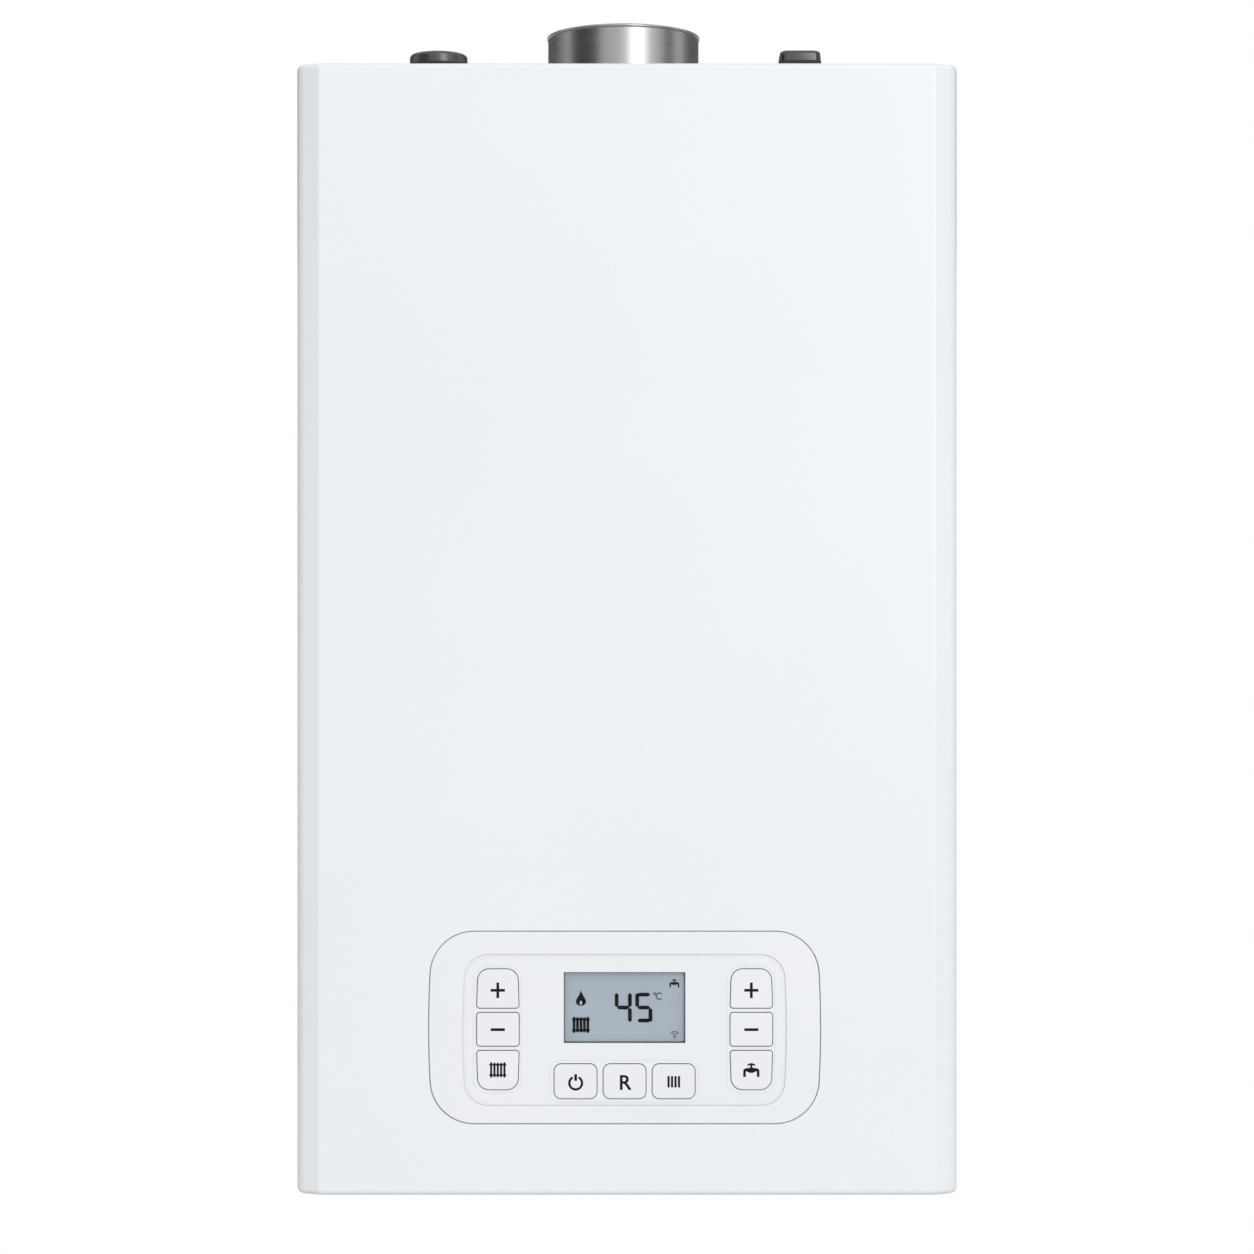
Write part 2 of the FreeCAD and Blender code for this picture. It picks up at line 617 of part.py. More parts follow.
def top_plate():
    """The plate under the front panel's top return, with the flue and test socket openings."""
    depth = "casing_depth - front_return + lip_depth - 13 - plate"
    front = f"-plate - ({depth})"
    flat = block("top_flat", "-inner_half", front, "under_top", "2 * inner_half", depth, "plate")
    rear = block("top_rear", "-inner_half", "-2 * plate", "under_top - flange", "2 * inner_half", "plate",
                 "flange")
    edges = [block(f"top_edge_{side}", f"{sign} * inner_half - {max(sign, 0)} * plate", "side_y",
                   "under_top - flange", "plate", "-side_y - plate", "flange")
             for side, sign in SIDES.items()]
    holes = [rod("top_flue", "flue_x", "flue_y", "under_top - plate", "flue_opening", "3 * plate")]
    holes += socket_holes("top", "under_top - plate", "3 * plate")
    for index, x, y in collar_screw_spots():
        holes.append(rod(f"top_hole_{index}", x, y, "under_top - plate", "screw_hole", "3 * plate"))
    piece("top_plate", cut("top_plate", join("top_sheet", flat, rear, *edges), *holes))


def socket_holes(name, z, depth):
    """Cutters for the two test sockets."""
    return [rod(f"{name}_plug_hole", "plug_x", "socket_y", z, "plug_socket + fit", depth),
            rod(f"{name}_cover_hole", "cover_x", "socket_y", z, "cover_socket + fit", depth)]


def bottom_plate():
    """The plate that the pipe unions pass through, with a lip that the front panel is screwed to."""
    front = "return_y + 2 * plate"
    lip_front = f"{front} - lip_depth"
    flat = block("floor_flat", "-inner_half", front, "floor_height", "2 * inner_half",
                 f"-({front}) - plate", "plate")
    rear = block("floor_rear", "-inner_half", "-2 * plate", "floor_height", "2 * inner_half", "plate",
                 "flange")
    skirt = block("floor_skirt", "-inner_half", front, "lip_z", "2 * inner_half", "plate",
                  "floor_z - lip_z")
    lip = block("floor_lip", "-inner_half", lip_front, "lip_z", "2 * inner_half", "lip_depth + plate",
                "plate")
    holes = []
    for side, sign in SIDES.items():
        x = f"{sign} * panel_screw_span / 2"
        holes.append(rod(f"notch_{side}_end", x, "panel_screw_y", "lip_z - plate", "screw_hole",
                         "3 * plate"))
        holes.append(block(f"notch_{side}_way", f"{x} - screw_hole", f"{lip_front} - plate",
                           "lip_z - plate", "2 * screw_hole", f"panel_screw_y - ({lip_front}) + plate",
                           "3 * plate"))
    for index, radius in enumerate(UNIONS):
        holes.append(rod(f"union_hole_{index}", union_x(index), "union_y", "floor_height - plate",
                         f"{radius} + fit", "3 * plate"))
    holes.append(rod("gland_hole", "gland_x", "-gland_offset", "floor_height - plate",
                     "gland_radius - 1.5 + fit", "3 * plate"))
    holes.append(rod("filling_hole", "filling_x", "union_y", "floor_height - plate", "filling_stem + fit",
                     "3 * plate"))
    notches = [join(f"notch_{side}", *holes[2 * row:2 * row + 2]) for row, side in enumerate(SIDES)]
    piece("bottom_plate", cut("bottom_plate", join("floor_sheet", flat, rear, skirt, lip), *notches,
                              *holes[4:]))


def front_panel():
    """The sheet pan that lifts off, with bevelled upright edges and the control panel's cut-out."""
    body = Body("front_panel")
    side, flat = "half_width", "half_width - bevel_run"
    points = [("-half_width", "return_y"), ("-half_width", "front_y + bevel_rise"),
              (f"-({flat})", "front_y"), (flat, "front_y"), (side, "front_y + bevel_rise"),
              (side, "return_y")]
    body.pad(polygon(body.sketch("XY", 0), points), "casing_height")
    upright = lambda edge, y: runs(edge, "z") and close(edge.CenterOfMass.y, y)
    body.fillet("corner_round", lambda edge: upright(edge, "front_y + bevel_rise"))
    body.fillet("crease_round", lambda edge: upright(edge, "front_y"))
    body.fillet("rim_round", lambda edge: not runs(edge, "z") and not close(edge.CenterOfMass.y,
                                                                            "return_y"))
    body.shell("sheet", lambda face: close(face.CenterOfMass.y, "return_y"))
    opening = body.sketch("XZ", "casing_depth + sheet")
    barrel(opening, "panel_x", "panel_z", "bezel_width + 2 * bezel_gap", "bezel_height + 2 * bezel_gap",
           "bezel_bow")
    body.pocket(opening, "3 * sheet")
    in_front = lambda edge: close(edge.CenterOfMass.y, "front_y + sheet / 2") and runs(edge, "y")
    body.fillet("bezel_round + bezel_gap", in_front)
    drawing = body.sketch("XY", "2 * sheet")
    for sign in SIDES.values():
        circle(drawing, f"{sign} * panel_screw_span / 2", "panel_screw_y", "screw_hole")
    body.pocket(drawing, "3 * sheet")
    piece("front_panel", body.body)


def front_panel_screws():
    """Two captive screws with clip nuts, which leave the lip's notches with the front panel."""
    screws = []
    for side, sign in SIDES.items():
        x = f"{sign} * panel_screw_span / 2"
        head = rod(f"panel_screw_head_{side}", x, "panel_screw_y", "-panel_screw_rise",
                   "screw_head", "panel_screw_rise")
        shank = rod(f"panel_screw_shank_{side}", x, "panel_screw_y", 0, "screw_radius",
                    "lip_z + plate + 3 * screw_rise")
        nut = prism(f"panel_nut_{side}", x, "panel_screw_y", "lip_z + plate + fit", "screw_head",
                    "screw_rise", sides=4)
        screws.append(join(f"panel_screw_{side}", head, shank, nut))
    piece("front_panel_screws", group("front_panel_screws", *screws))


def casing_screws():
    """Pan head screws of the side panels, flue collar and chamber cover."""
    screws = [screw(f"side_screw_{name}", x, "-(plate + sheet)", z, "plate + sheet - 0.2")
              for name, x, z in side_screw_spots()]
    screws += [screw(f"collar_screw_{index}", x, y, "top_z + gasket + sheet", "screw_length + gasket",
                     down=True) for index, x, y in collar_screw_spots()]
    screws += [screw(f"cover_screw_{name}", x, "chamber_y - plate", z, "screw_length")
               for name, x, z in cover_screw_spots()]
    piece("casing_screws", group("casing_screws", *screws))


# Flue and test sockets
def flue_collar():
    """The outer collar: a flange, a tube and a rolled rim."""
    base = "top_z + gasket"
    bore = "collar_radius - collar_wall"
    flange = rod("collar_flange_disc", "flue_x", "flue_y", base, "collar_flange", "sheet")
    wall = rod("collar_wall_rod", "flue_x", "flue_y", base, "collar_radius",
               f"collar_top - collar_bead - ({base})")
    bead = ring("collar_rim", "flue_x", "flue_y", "collar_top - collar_bead",
                "collar_radius - collar_wall / 2", "collar_bead")
    holes = [rod("collar_bore", "flue_x", "flue_y", f"{base} - sheet", bore,
                 f"collar_top - ({base}) + 2 * sheet")]
    for index, x, y in collar_screw_spots():
        holes.append(rod(f"collar_hole_{index}", x, y, f"{base} - sheet", "screw_hole", "3 * sheet"))
    shell = cut("collar_shell", join("collar_solid", flange, wall), *holes)
    piece("flue_collar", join("flue_collar", shell, bead))


def flue_gasket():
    """A flat ring between the collar and the top plate."""
    disc = rod("gasket_disc", "flue_x", "flue_y", "top_z", "collar_flange - sheet", "gasket")
    holes = [rod("gasket_bore", "flue_x", "flue_y", "top_z - sheet",
                 "collar_radius - collar_wall - sheet", "gasket + 2 * sheet")]
    for index, x, y in collar_screw_spots():
        holes.append(rod(f"gasket_hole_{index}", x, y, "top_z - sheet", "screw_hole", "gasket + 2 * sheet"))
    piece("flue_gasket", cut("flue_gasket", disc, *holes))


def inner_flue_pipe():
    """The pipe that carries the flue gas up from the fan's spigot."""
    low = "under_top - socket_drop"
    piece("inner_flue_pipe", tube("inner_flue_pipe", "flue_x", "flue_y", low, "inner_flue_radius",
                                  "inner_flue_radius - inner_flue_wall",
                                  f"top_z + inner_flue_rise - ({low})"))


def test_sockets():
    """Two short sockets through the top plate into the sealed chamber."""
    low = "top_z - socket_drop"
    neck = rod("plug_socket_neck", "plug_x", "socket_y", low, "plug_socket", f"plug_base - ({low})")
    skirt = rod("plug_socket_skirt", "plug_x", "socket_y", "top_z", "plug_socket + 2 * socket_wall",
                "socket_wall")
    bore = rod("plug_socket_bore", "plug_x", "socket_y", f"{low} - sheet", "plug_socket - socket_wall",
               f"plug_base - ({low}) + 2 * sheet")
    left = cut("plug_socket_body", join("plug_socket_solid", neck, skirt), bore)
    foot = block("cover_socket_foot", "cover_x - cover_width / 2 - sheet",
                 "socket_y - cover_depth / 2 - sheet", "top_z", "cover_width + 2 * sheet",
                 "cover_depth + 2 * sheet", "cover_base")
    stub = rod("cover_socket_stub", "cover_x", "socket_y", low, "cover_socket",
               f"top_z - ({low}) + cover_base")
    hole = rod("cover_socket_bore", "cover_x", "socket_y", f"{low} - sheet", "cover_socket - socket_wall",
               "socket_drop + cover_base + 2 * sheet")
    right = cut("cover_socket_body", join("cover_socket_solid", foot, stub), hole)
    piece("test_sockets", group("test_sockets", left, right))


def air_test_plug():
    """The round plug over the left socket: a domed head on a stem."""
    body = Body("air_test_plug")
    body.pad(circle(body.sketch("XY", "plug_base"), "plug_x", "socket_y", "plug_radius"), "plug_head")
    body.fillet("plug_round", lambda edge: close(edge.CenterOfMass.z, "plug_top"))
    stem = circle(body.sketch("XY", "plug_base"), "plug_x", "socket_y", "plug_socket - socket_wall - fit")
    body.pad(stem, "plug_stem", back=True)
    piece("air_test_plug", body.body)


def flue_test_cover():
    """The rectangular cover over the right socket, with a lug to pull it by."""
    body = Body("flue_test_cover")
    seat = body.sketch("XY", "cover_seat")
    body.pad(rectangle(seat, "cover_x", "socket_y", "cover_width", "cover_depth"), "cover_top - cover_seat")
    body.fillet("cover_corner", lambda edge: runs(edge, "z"))
    body.fillet("cover_round", lambda edge: close(edge.CenterOfMass.z, "cover_top"))
    lug = rectangle(body.sketch("XY", "cover_seat"), "cover_x - cover_width / 2", "socket_y", "2 * cover_lug",
                    "cover_depth / 3")
    body.pad(lug, "cover_lug_rise")
    stem = circle(body.sketch("XY", "cover_seat"), "cover_x", "socket_y",
                  "cover_socket - socket_wall - fit")
    body.pad(stem, "socket_drop", back=True)
    piece("flue_test_cover", body.body)


# Control panel
COLUMNS = {"heating": -1, "water": 1}
ROWS = {"plus": 1, "minus": 0, "mode": -1}
ROW_KEYS = {"power": -1, "reset": 0, "info": 1}


def key_shapes():
    """Name, middle, size and end of each key: an end of 1 or -1 is a column's top or bottom key."""
    pitch = "(key_middle + key_end) / 2 + key_web"
    for column, side in COLUMNS.items():
        x = f"panel_x + {side} * column_span / 2"
        for row, end in ROWS.items():
            height = "key_end" if end else "key_middle"
            z = f"panel_z + column_shift + {end} * ({pitch})"
            yield f"{column}_{row}", x, z, "key_width", height, end
    for name, place_in_row in ROW_KEYS.items():
        x, z = f"panel_x + {place_in_row} * row_pitch", "panel_z + row_shift"
        yield name, x, z, "row_width", "row_height", None


def key_outline(drawing, shape, grow):
    """Draw a key's outline, grown all round, with a column's end keys narrowed towards their ends."""
    _, x, z, width, height, end = shape
    half, rise = f"({width}) / 2 + {grow}", f"({height}) / 2 + {grow}"
    top = f"({half}) - key_taper" if end == 1 else half
    low = f"({half}) - key_taper" if end == -1 else half
    return polygon(drawing, [(f"{x} - ({low})", f"{z} - ({rise})"), (f"{x} + {low}", f"{z} - ({rise})"),
                             (f"{x} + {top}", f"{z} + {rise}"), (f"{x} - ({top})", f"{z} + {rise}")])


def round_key(body, shape, grow, level):
    """Round the corner edges of a key, or of its hole, that run back from a level."""
    _, x, z, width, height, end = shape
    rise, middle_x, middle_z = number(f"({height}) / 2 + {grow}"), number(x), number(z)

    def corner(edge, wanted):
        spot = edge.CenterOfMass
        near = abs(spot.x - middle_x) < number(f"({width}) / 2 + {grow} + 0.5")
        at_end = abs(abs(spot.z - middle_z) - rise) < 0.01 and (spot.z > middle_z) == (wanted > 0)
        return near and at_end and runs(edge, "y") and close(max(v.Y for v in edge.Vertexes), f"-({level})")
    for wanted in (1, -1):
        radius = "row_round" if end is None else "key_outer_round" if end == wanted else "key_inner_round"
        body.fillet(f"{radius} + {grow}", lambda edge: corner(edge, wanted))


def control_bezel():
    """The moulding in the front panel's cut-out: shoulder, face, recess, key holes and display opening."""
    body = Body("control_bezel")
    base = body.sketch("XZ", "bezel_back")
    body.pad(rectangle(base, "panel_x", "panel_z", "box_width", "box_tall"), "bezel_base")
    body.fillet("box_round", lambda edge: runs(edge, "y"))
    face = body.sketch("XZ", "bezel_shoulder")
    body.pad(barrel(face, "panel_x", "panel_z", "bezel_width", "bezel_height", "bezel_bow"), "bezel_rise")
    on_face = lambda edge: close(min(v.Y for v in edge.Vertexes), "front_y")
    body.fillet("bezel_round", lambda edge: on_face(edge) and runs(edge, "y"))
    body.fillet("bezel_edge", lambda edge: on_face(edge) and not runs(edge, "y"))
    recess = body.sketch("XZ", "casing_depth")
    barrel(recess, "panel_x", "panel_z + recess_shift", "recess_width", "recess_height", "recess_bow")
    body.pocket(recess, "recess_drop")
    recess_middle = lambda edge: close(edge.CenterOfMass.y, "-(casing_depth - recess_drop / 2)")
    body.fillet("recess_round", lambda edge: recess_middle(edge) and runs(edge, "y"))
    holes = body.sketch("XZ", "casing_depth")
    rectangle(holes, "panel_x", "panel_z + display_shift", "display_width", "display_height")
    for shape in key_shapes():
        key_outline(holes, shape, "key_gap")
    body.pocket(holes, "bezel_rise + 2 * bezel_base")
    for shape in key_shapes():
        round_key(body, shape, "key_gap", "bezel_back")
    piece("control_bezel", body.body)


def key_button(shape):
    """A key cap with a flange behind the bezel and a stem to its switch."""
    name, x, z = shape[:3]
    body = Body(f"{name}_button")
    cap = body.sketch("XZ", "key_back")
    body.pad(key_outline(cap, shape, 0), "recess_level + key_rise - (key_back)")
    round_key(body, shape, 0, "key_back")
    body.fillet("key_edge", lambda edge: close(edge.BoundBox.YMin, "-(recess_level + key_rise)")
                and close(edge.BoundBox.YMax, "-(recess_level + key_rise)"))
    body.pad(key_outline(body.sketch("XZ", "key_back"), shape, "key_margin"), "key_flange")
    stem = rectangle(body.sketch("XZ", "key_back"), x, z, "key_stem_width", "key_stem_width")
    body.pad(stem, "key_stem", back=True)
    piece(f"{name}_button", body.body)


def display():
    """The display's window, and the module behind it that stands on the board."""
    x, z = "panel_x", "panel_z + display_shift"
    window = Body("display_window")
    width, height = "display_width - fit", "display_height - fit"
    level = "bezel_back + fit"
    depth = f"recess_level - display_drop - ({level})"
    window.pad(rectangle(window.sketch("XZ", level), x, z, width, height), depth)
    window.fillet("display_round / 3", lambda edge: runs(edge, "y"))
    piece("display_window", window.body)
    module = Body("display_module")
    wide, high = "display_width + 2 * display_rim", "display_height + 2 * display_rim"
    module.pad(rectangle(module.sketch("XZ", "board_face"), x, z, wide, high), "board_gap")
    module.fillet("display_round", lambda edge: runs(edge, "y"))
    piece("display_module", module.body)


def board_posts():
    """Where the board stands on the control box."""
    for sx in (-1, 1):
        for sz in (-1, 1):
            spot, level = f"panel_x + {sx} * board_post_x", f"panel_z + {sz} * board_post_z"
            yield f"{sx}_{sz}".replace("-", "n"), spot, level


def box_posts():
    """Where the control box is screwed to the bezel's shoulder."""
    for sx in (-1, 1):
        for sz in (-1, 1):
            spot = f"panel_x + {sx} * (box_width / 2 - post_inset)"
            level = f"panel_z + {sz} * (box_tall / 2 - post_inset)"
            yield f"{sx}_{sz}".replace("-", "n"), spot, level


def control_box():
    """The housing behind the bezel, open at the front, with posts for the bezel and the board."""
    body = Body("control_box")
    back = body.sketch("XZ", "box_back")
    body.pad(rectangle(back, "panel_x", "panel_z", "box_width", "box_tall"), "box_depth")
    body.fillet("box_round", lambda edge: runs(edge, "y"))
    body.shell("box_wall", lambda face: close(face.CenterOfMass.y, "-(bezel_back)"))
    tall, short = body.sketch("XZ", "box_back"), body.sketch("XZ", "box_back")
    for _, x, z in box_posts():
        circle(tall, x, z, "post_radius")
    for _, x, z in board_posts():
        circle(short, x, z, "post_radius")
    body.pad(tall, "box_depth")
    body.pad(short, "board_back - (box_back)")
    bores = body.sketch("XZ", "bezel_back")
    for _, x, z in list(box_posts()) + list(board_posts()):
        circle(bores, x, z, "small_screw + fit")
    body.pocket(bores, "box_depth")
    piece("control_box", body.body)


def control_board():
    """The circuit board, with holes over its posts and a switch soldered on under each key."""
    body = Body("board_sheet")
    back = body.sketch("XZ", "board_back")
    body.pad(rectangle(back, "panel_x", "panel_z", "board_width", "board_height"), "board_thickness")
    holes = body.sketch("XZ", "board_face")
    for _, x, z in board_posts():
        circle(holes, x, z, "small_screw + fit")
    body.pocket(holes, "board_thickness")
    switches = []
    half = "switch_width / 2"
    for name, x, z, *_ in key_shapes():
        base = block(f"{name}_switch_base", f"{x} - {half}", "-(board_face + switch_height)",
                     f"{z} - {half}", "switch_width", "switch_height", "switch_width")
        top = "board_face + switch_height + plunger_rise"
        plunger = rod(f"{name}_plunger", x, f"-({top})", z, "plunger_radius", "plunger_rise", "y")
        switches.append(join(f"{name}_switch", base, plunger))
    piece("control_board", group("control_board", body.body, *switches))


def control_screws():
    """Small screws: four through the board, four through the box from behind."""
    screws = []
    for name, x, z in board_posts():
        head = rod(f"board_head_{name}", x, "-(board_face + small_rise)", z, "small_head", "small_rise",
                   "y")
        shank = rod(f"board_shank_{name}", x, "-board_face", z, "small_screw", "4 * small_head", "y")
        screws.append(join(f"board_screw_{name}", head, shank))
    for name, x, z in box_posts():
        head = rod(f"box_head_{name}", x, "-(box_back)", z, "small_head", "small_rise", "y")
        shank = rod(f"box_shank_{name}", x, "-(bezel_back)", z, "small_screw", "box_depth", "y")
        screws.append(join(f"box_screw_{name}", head, shank))
    piece("control_screws", group("control_screws", *screws))


def cable_gland():
    """The gland for the supply lead in the bottom plate."""
    spot = ("gland_x", "-gland_offset")
    neck = rod("gland_neck", *spot, "floor_height - gland_drop", "gland_radius - 1.5", "gland_drop + 12")
    cap = prism("gland_cap", *spot, "floor_height - gland_drop", "gland_radius + 1.5", "gland_drop - 6")
    collar = prism("gland_collar", *spot, "floor_height - 5", "gland_radius + 3", "5")
    nut = prism("gland_nut", *spot, "floor_z", "gland_radius + 3", "5")
    bore = rod("gland_hollow", *spot, "floor_height - gland_drop - 1", "gland_bore", "gland_drop + 14")
    piece("cable_gland", cut("cable_gland", join("gland_solid", neck, cap, collar, nut), bore))


# Sealed chamber
def sealed_chamber():
    """The box that holds the fire: sheets welded behind a front flange, with holes for pipes and flue."""
    wall, depth, tall = "sheet", "chamber_depth + rail_y", "under_top - chamber_base"
    behind, deep = f"chamber_y + {wall}", f"{depth} - 2 * {wall}"
    flange = block("chamber_front", "chamber_left", "chamber_y", "chamber_base", "chamber_width", wall, tall)
    back = block("chamber_back", "chamber_left", f"chamber_y + {depth} - {wall}", "chamber_base",
                 "chamber_width", wall, tall)
    floor = block("chamber_floor", "chamber_left", behind, "chamber_base", "chamber_width", deep, wall)
    roof = block("chamber_roof", "chamber_left", behind, f"under_top - {wall}", "chamber_width", deep, wall)
    edges = {"left": "chamber_left", "right": f"chamber_left + chamber_width - {wall}"}
    sides = [block(f"chamber_{name}", x, behind, f"chamber_base + {wall}", wall, deep, f"{tall} - 2 * {wall}")
             for name, x in edges.items()]
    ahead, above, below = f"chamber_y - {wall}", f"under_top - 2 * {wall}", f"chamber_base - {wall}"
    through, hole = f"3 * {wall}", "pipe_radius + fit"
    front_cuts = [block("chamber_mouth", "chamber_left + chamber_flange", ahead,
                        "chamber_base + chamber_flange", "chamber_width - 2 * chamber_flange", through,
                        f"{tall} - 2 * chamber_flange")]
    for name, x, z in cover_screw_spots():
        front_cuts.append(rod(f"chamber_screw_{name}", x, ahead, z, "screw_hole", through, "y"))
    floor_cuts = [rod("chamber_riser", "riser_x", "union_y", below, hole, through),
                  rod("chamber_flow", "diverter_pipe_x", "union_y", below, hole, through),
                  rod("chamber_gas", "0", "-manifold_offset", below, hole, through)]
    roof_cuts = [rod("chamber_flue", "flue_x", "flue_y", above, "flue_opening", through)]
    roof_cuts += socket_holes("chamber", above, through)
    for index, x, y in collar_screw_spots():
        roof_cuts.append(rod(f"chamber_collar_{index}", x, y, above, "screw_hole", through))
    sheets = [cut("chamber_flange_sheet", flange, *front_cuts), back, *sides,
              cut("chamber_floor_sheet", floor, *floor_cuts), cut("chamber_roof_sheet", roof, *roof_cuts)]
    piece("sealed_chamber", group("sealed_chamber", *sheets))


def chamber_cover():
    """The front cover of the sealed chamber and its sight glass."""
    low, high = "chamber_base + cover_inset", "under_top - cover_inset"
    sheet_block = block("cover_sheet", "chamber_left + cover_inset", "chamber_y - plate", low,
                        "chamber_width - 2 * cover_inset", "plate", f"{high} - ({low})")
    holes = [rod("cover_sight", "stack_x", "chamber_y - 2 * plate", "sight_z", "sight_hole", "3 * plate",
                 "y")]
    for name, x, z in cover_screw_spots():
        holes.append(rod(f"cover_hole_{name}", x, "chamber_y - 2 * plate", z, "screw_hole", "3 * plate",
                         "y"))
    piece("chamber_cover", cut("chamber_cover", sheet_block, *holes))
    piece("sight_glass", rod("sight_glass", "stack_x", "chamber_y - plate - sight_glass", "sight_z",
                             "sight_radius", "sight_glass", "y"))


def burner():
    """A row of upright burner blades between two rails that hang from the combustion box."""
    reach = "stack_width - 2 * insulation"
    left = "stack_left + insulation"
    step = f"({reach} - blade_width) / (burner_blades - 1)"
    parts = []
    for index in range(SIZES["burner_blades"]):
        parts.append(block(f"blade_{index}", f"{left} + {index} * {step}",
                           "-stack_front + insulation + burner_rail", "burner_base", "blade_width",
                           "stack_depth - 2 * (insulation + burner_rail)", "burner_height"))
    rails = {"front": "-stack_front + insulation", "rear": "-stack_rear - insulation - burner_rail"}
    for name, y in rails.items():
        parts.append(block(f"burner_rail_{name}", "stack_left", y, "box_base - burner_rail * 3",
                           "stack_width", "burner_rail", "burner_rail * 3"))
    piece("burner", join("burner", *parts))


def gas_manifold():
    """The tube in front of the burner with an injector for each blade and its feed stub."""
    reach = "stack_width - 2 * insulation"
    left = "stack_left + insulation"
    step = f"({reach} - blade_width) / (burner_blades - 1)"
    parts = [rod("manifold_tube", left, "-manifold_offset", "manifold_z", "manifold_radius", reach, "x"),
             rod("manifold_stub", "0", "-manifold_offset", "manifold_z - manifold_radius - 6",
                 "pipe_radius", "manifold_radius + 6")]
    gap = "manifold_offset - stack_front + insulation + burner_rail - fit"
    for index in range(SIZES["burner_blades"]):
        parts.append(rod(f"injector_{index}", f"{left} + {index} * {step} + blade_width / 2",
                         "-manifold_offset", "manifold_z", "injector_radius", gap, "y"))
    piece("gas_manifold", join("gas_manifold", *parts))


def combustion_box():
    """The sheet box over the burner, its insulation and the electrodes in its front wall."""
    walls = {"outer": "0", "inner": "sheet", "core": "sheet + insulation"}
    shells = {name: block(f"fire_{name}", f"stack_left + {inset}", f"-stack_front + {inset}", "box_base",
                          f"stack_width - 2 * ({inset})", f"stack_depth - 2 * ({inset})", "box_height")
              for name, inset in walls.items()}
    lining_outer = block("lining_outer", "stack_left + sheet", "-stack_front + sheet", "box_base",
                         "stack_width - 2 * sheet", "stack_depth - 2 * sheet", "box_height")
    ways = [rod(f"electrode_way_{sign}".replace("-", "n"), f"stack_x + {sign} * electrode_span / 2",
                "-stack_front - sheet", "electrode_z", "ceramic_radius + fit", "insulation + 4 * sheet",
                "y") for sign in (-1, 1)]
    piece("combustion_box", cut("combustion_box", cut("fire_walls", shells["outer"], shells["inner"]),
                                *ways))
    lining_ways = [rod(f"lining_way_{sign}".replace("-", "n"), f"stack_x + {sign} * electrode_span / 2",
                       "-stack_front - sheet", "electrode_z", "ceramic_radius + fit",
                       "insulation + 4 * sheet", "y") for sign in (-1, 1)]
    piece("insulation_panels", cut("insulation_panels", cut("lining_walls", lining_outer, shells["core"]),
                                   *lining_ways))
    probes = []
    for sign in (-1, 1):
        name, x = f"{sign}".replace("-", "n"), f"stack_x + {sign} * electrode_span / 2"
        body = rod(f"ceramic_{name}", x, "-stack_front - ceramic_radius", "electrode_z", "ceramic_radius",
                   "insulation + 4 * ceramic_radius", "y")
        plate_block = block(f"ceramic_plate_{name}", f"{x} - 2 * ceramic_radius", "-stack_front - sheet",
                            "electrode_z - 1.5 * ceramic_radius", "4 * ceramic_radius", "sheet",
                            "3 * ceramic_radius")
        needle = rod(f"needle_{name}", x, "-stack_front", "electrode_z", "electrode_radius",
                     "insulation + 10 * ceramic_radius", "y")
        probes.append(join(f"electrode_{name}", body, plate_block, needle))
    piece("electrodes", group("electrodes", *probes))


def heat_exchanger():
    """The copper core: fins on a row of tubes between two end chambers."""
    parts = []
    for name, x in {"left": "stack_left", "right": "stack_right - core_end"}.items():
        parts.append(block(f"core_{name}", x, "-stack_front", "core_base", "core_end", "stack_depth",
                           "core_height"))
    span = "stack_width - 2 * core_end"
    step = f"({span} - fin_width) / (core_fins + 1)"
    for index in range(1, SIZES["core_fins"] + 1):
        parts.append(block(f"fin_{index}", f"stack_left + core_end + {index} * {step}", "-stack_front",
                           "core_base", "fin_width", "stack_depth", "core_height"))
    for index in range(SIZES["core_tubes"]):
        y = f"-stack_front + stack_depth * ({index} + 0.5) / core_tubes"
        parts.append(rod(f"core_tube_{index}", "stack_left + 1", y, "core_base + core_height / 2",
                         "core_tube", "stack_width - 2", "x"))
    piece("heat_exchanger", join("heat_exchanger", *parts))


def flue_hood():
    """The hood over the core, with an upright neck that leads to the fan's inlet."""
    base = block("hood_base", "stack_left", "-stack_front", "core_top", "stack_width", "stack_depth",
                 "hood_height")
    space = block("hood_space", "stack_left + sheet", "-stack_front + sheet", "core_top - sheet",
                  "stack_width - 2 * sheet", "stack_depth - 2 * sheet", "hood_height")
    left, high = "fan_x - hood_neck_width / 2", "fan_z + fan_motor_radius - hood_top"
    neck = block("hood_neck", left, "-(fan_rear)", "hood_top - sheet", "hood_neck_width",
                 "hood_neck_depth", f"{high} + sheet")
    neck_space = block("hood_neck_space", f"{left} + sheet", "-(fan_rear) + sheet",
                       "hood_top - 2 * sheet", "hood_neck_width - 2 * sheet",
                       "hood_neck_depth - 2 * sheet", f"{high} + sheet")
    inlet = rod("hood_inlet", "fan_x", "-(fan_rear) - sheet", "fan_z", "fan_inlet", "3 * sheet", "y")
    solid = join("hood_solid", base, neck)
    piece("flue_hood", cut("flue_hood", solid, join("hood_hollow", space, neck_space, inlet)))


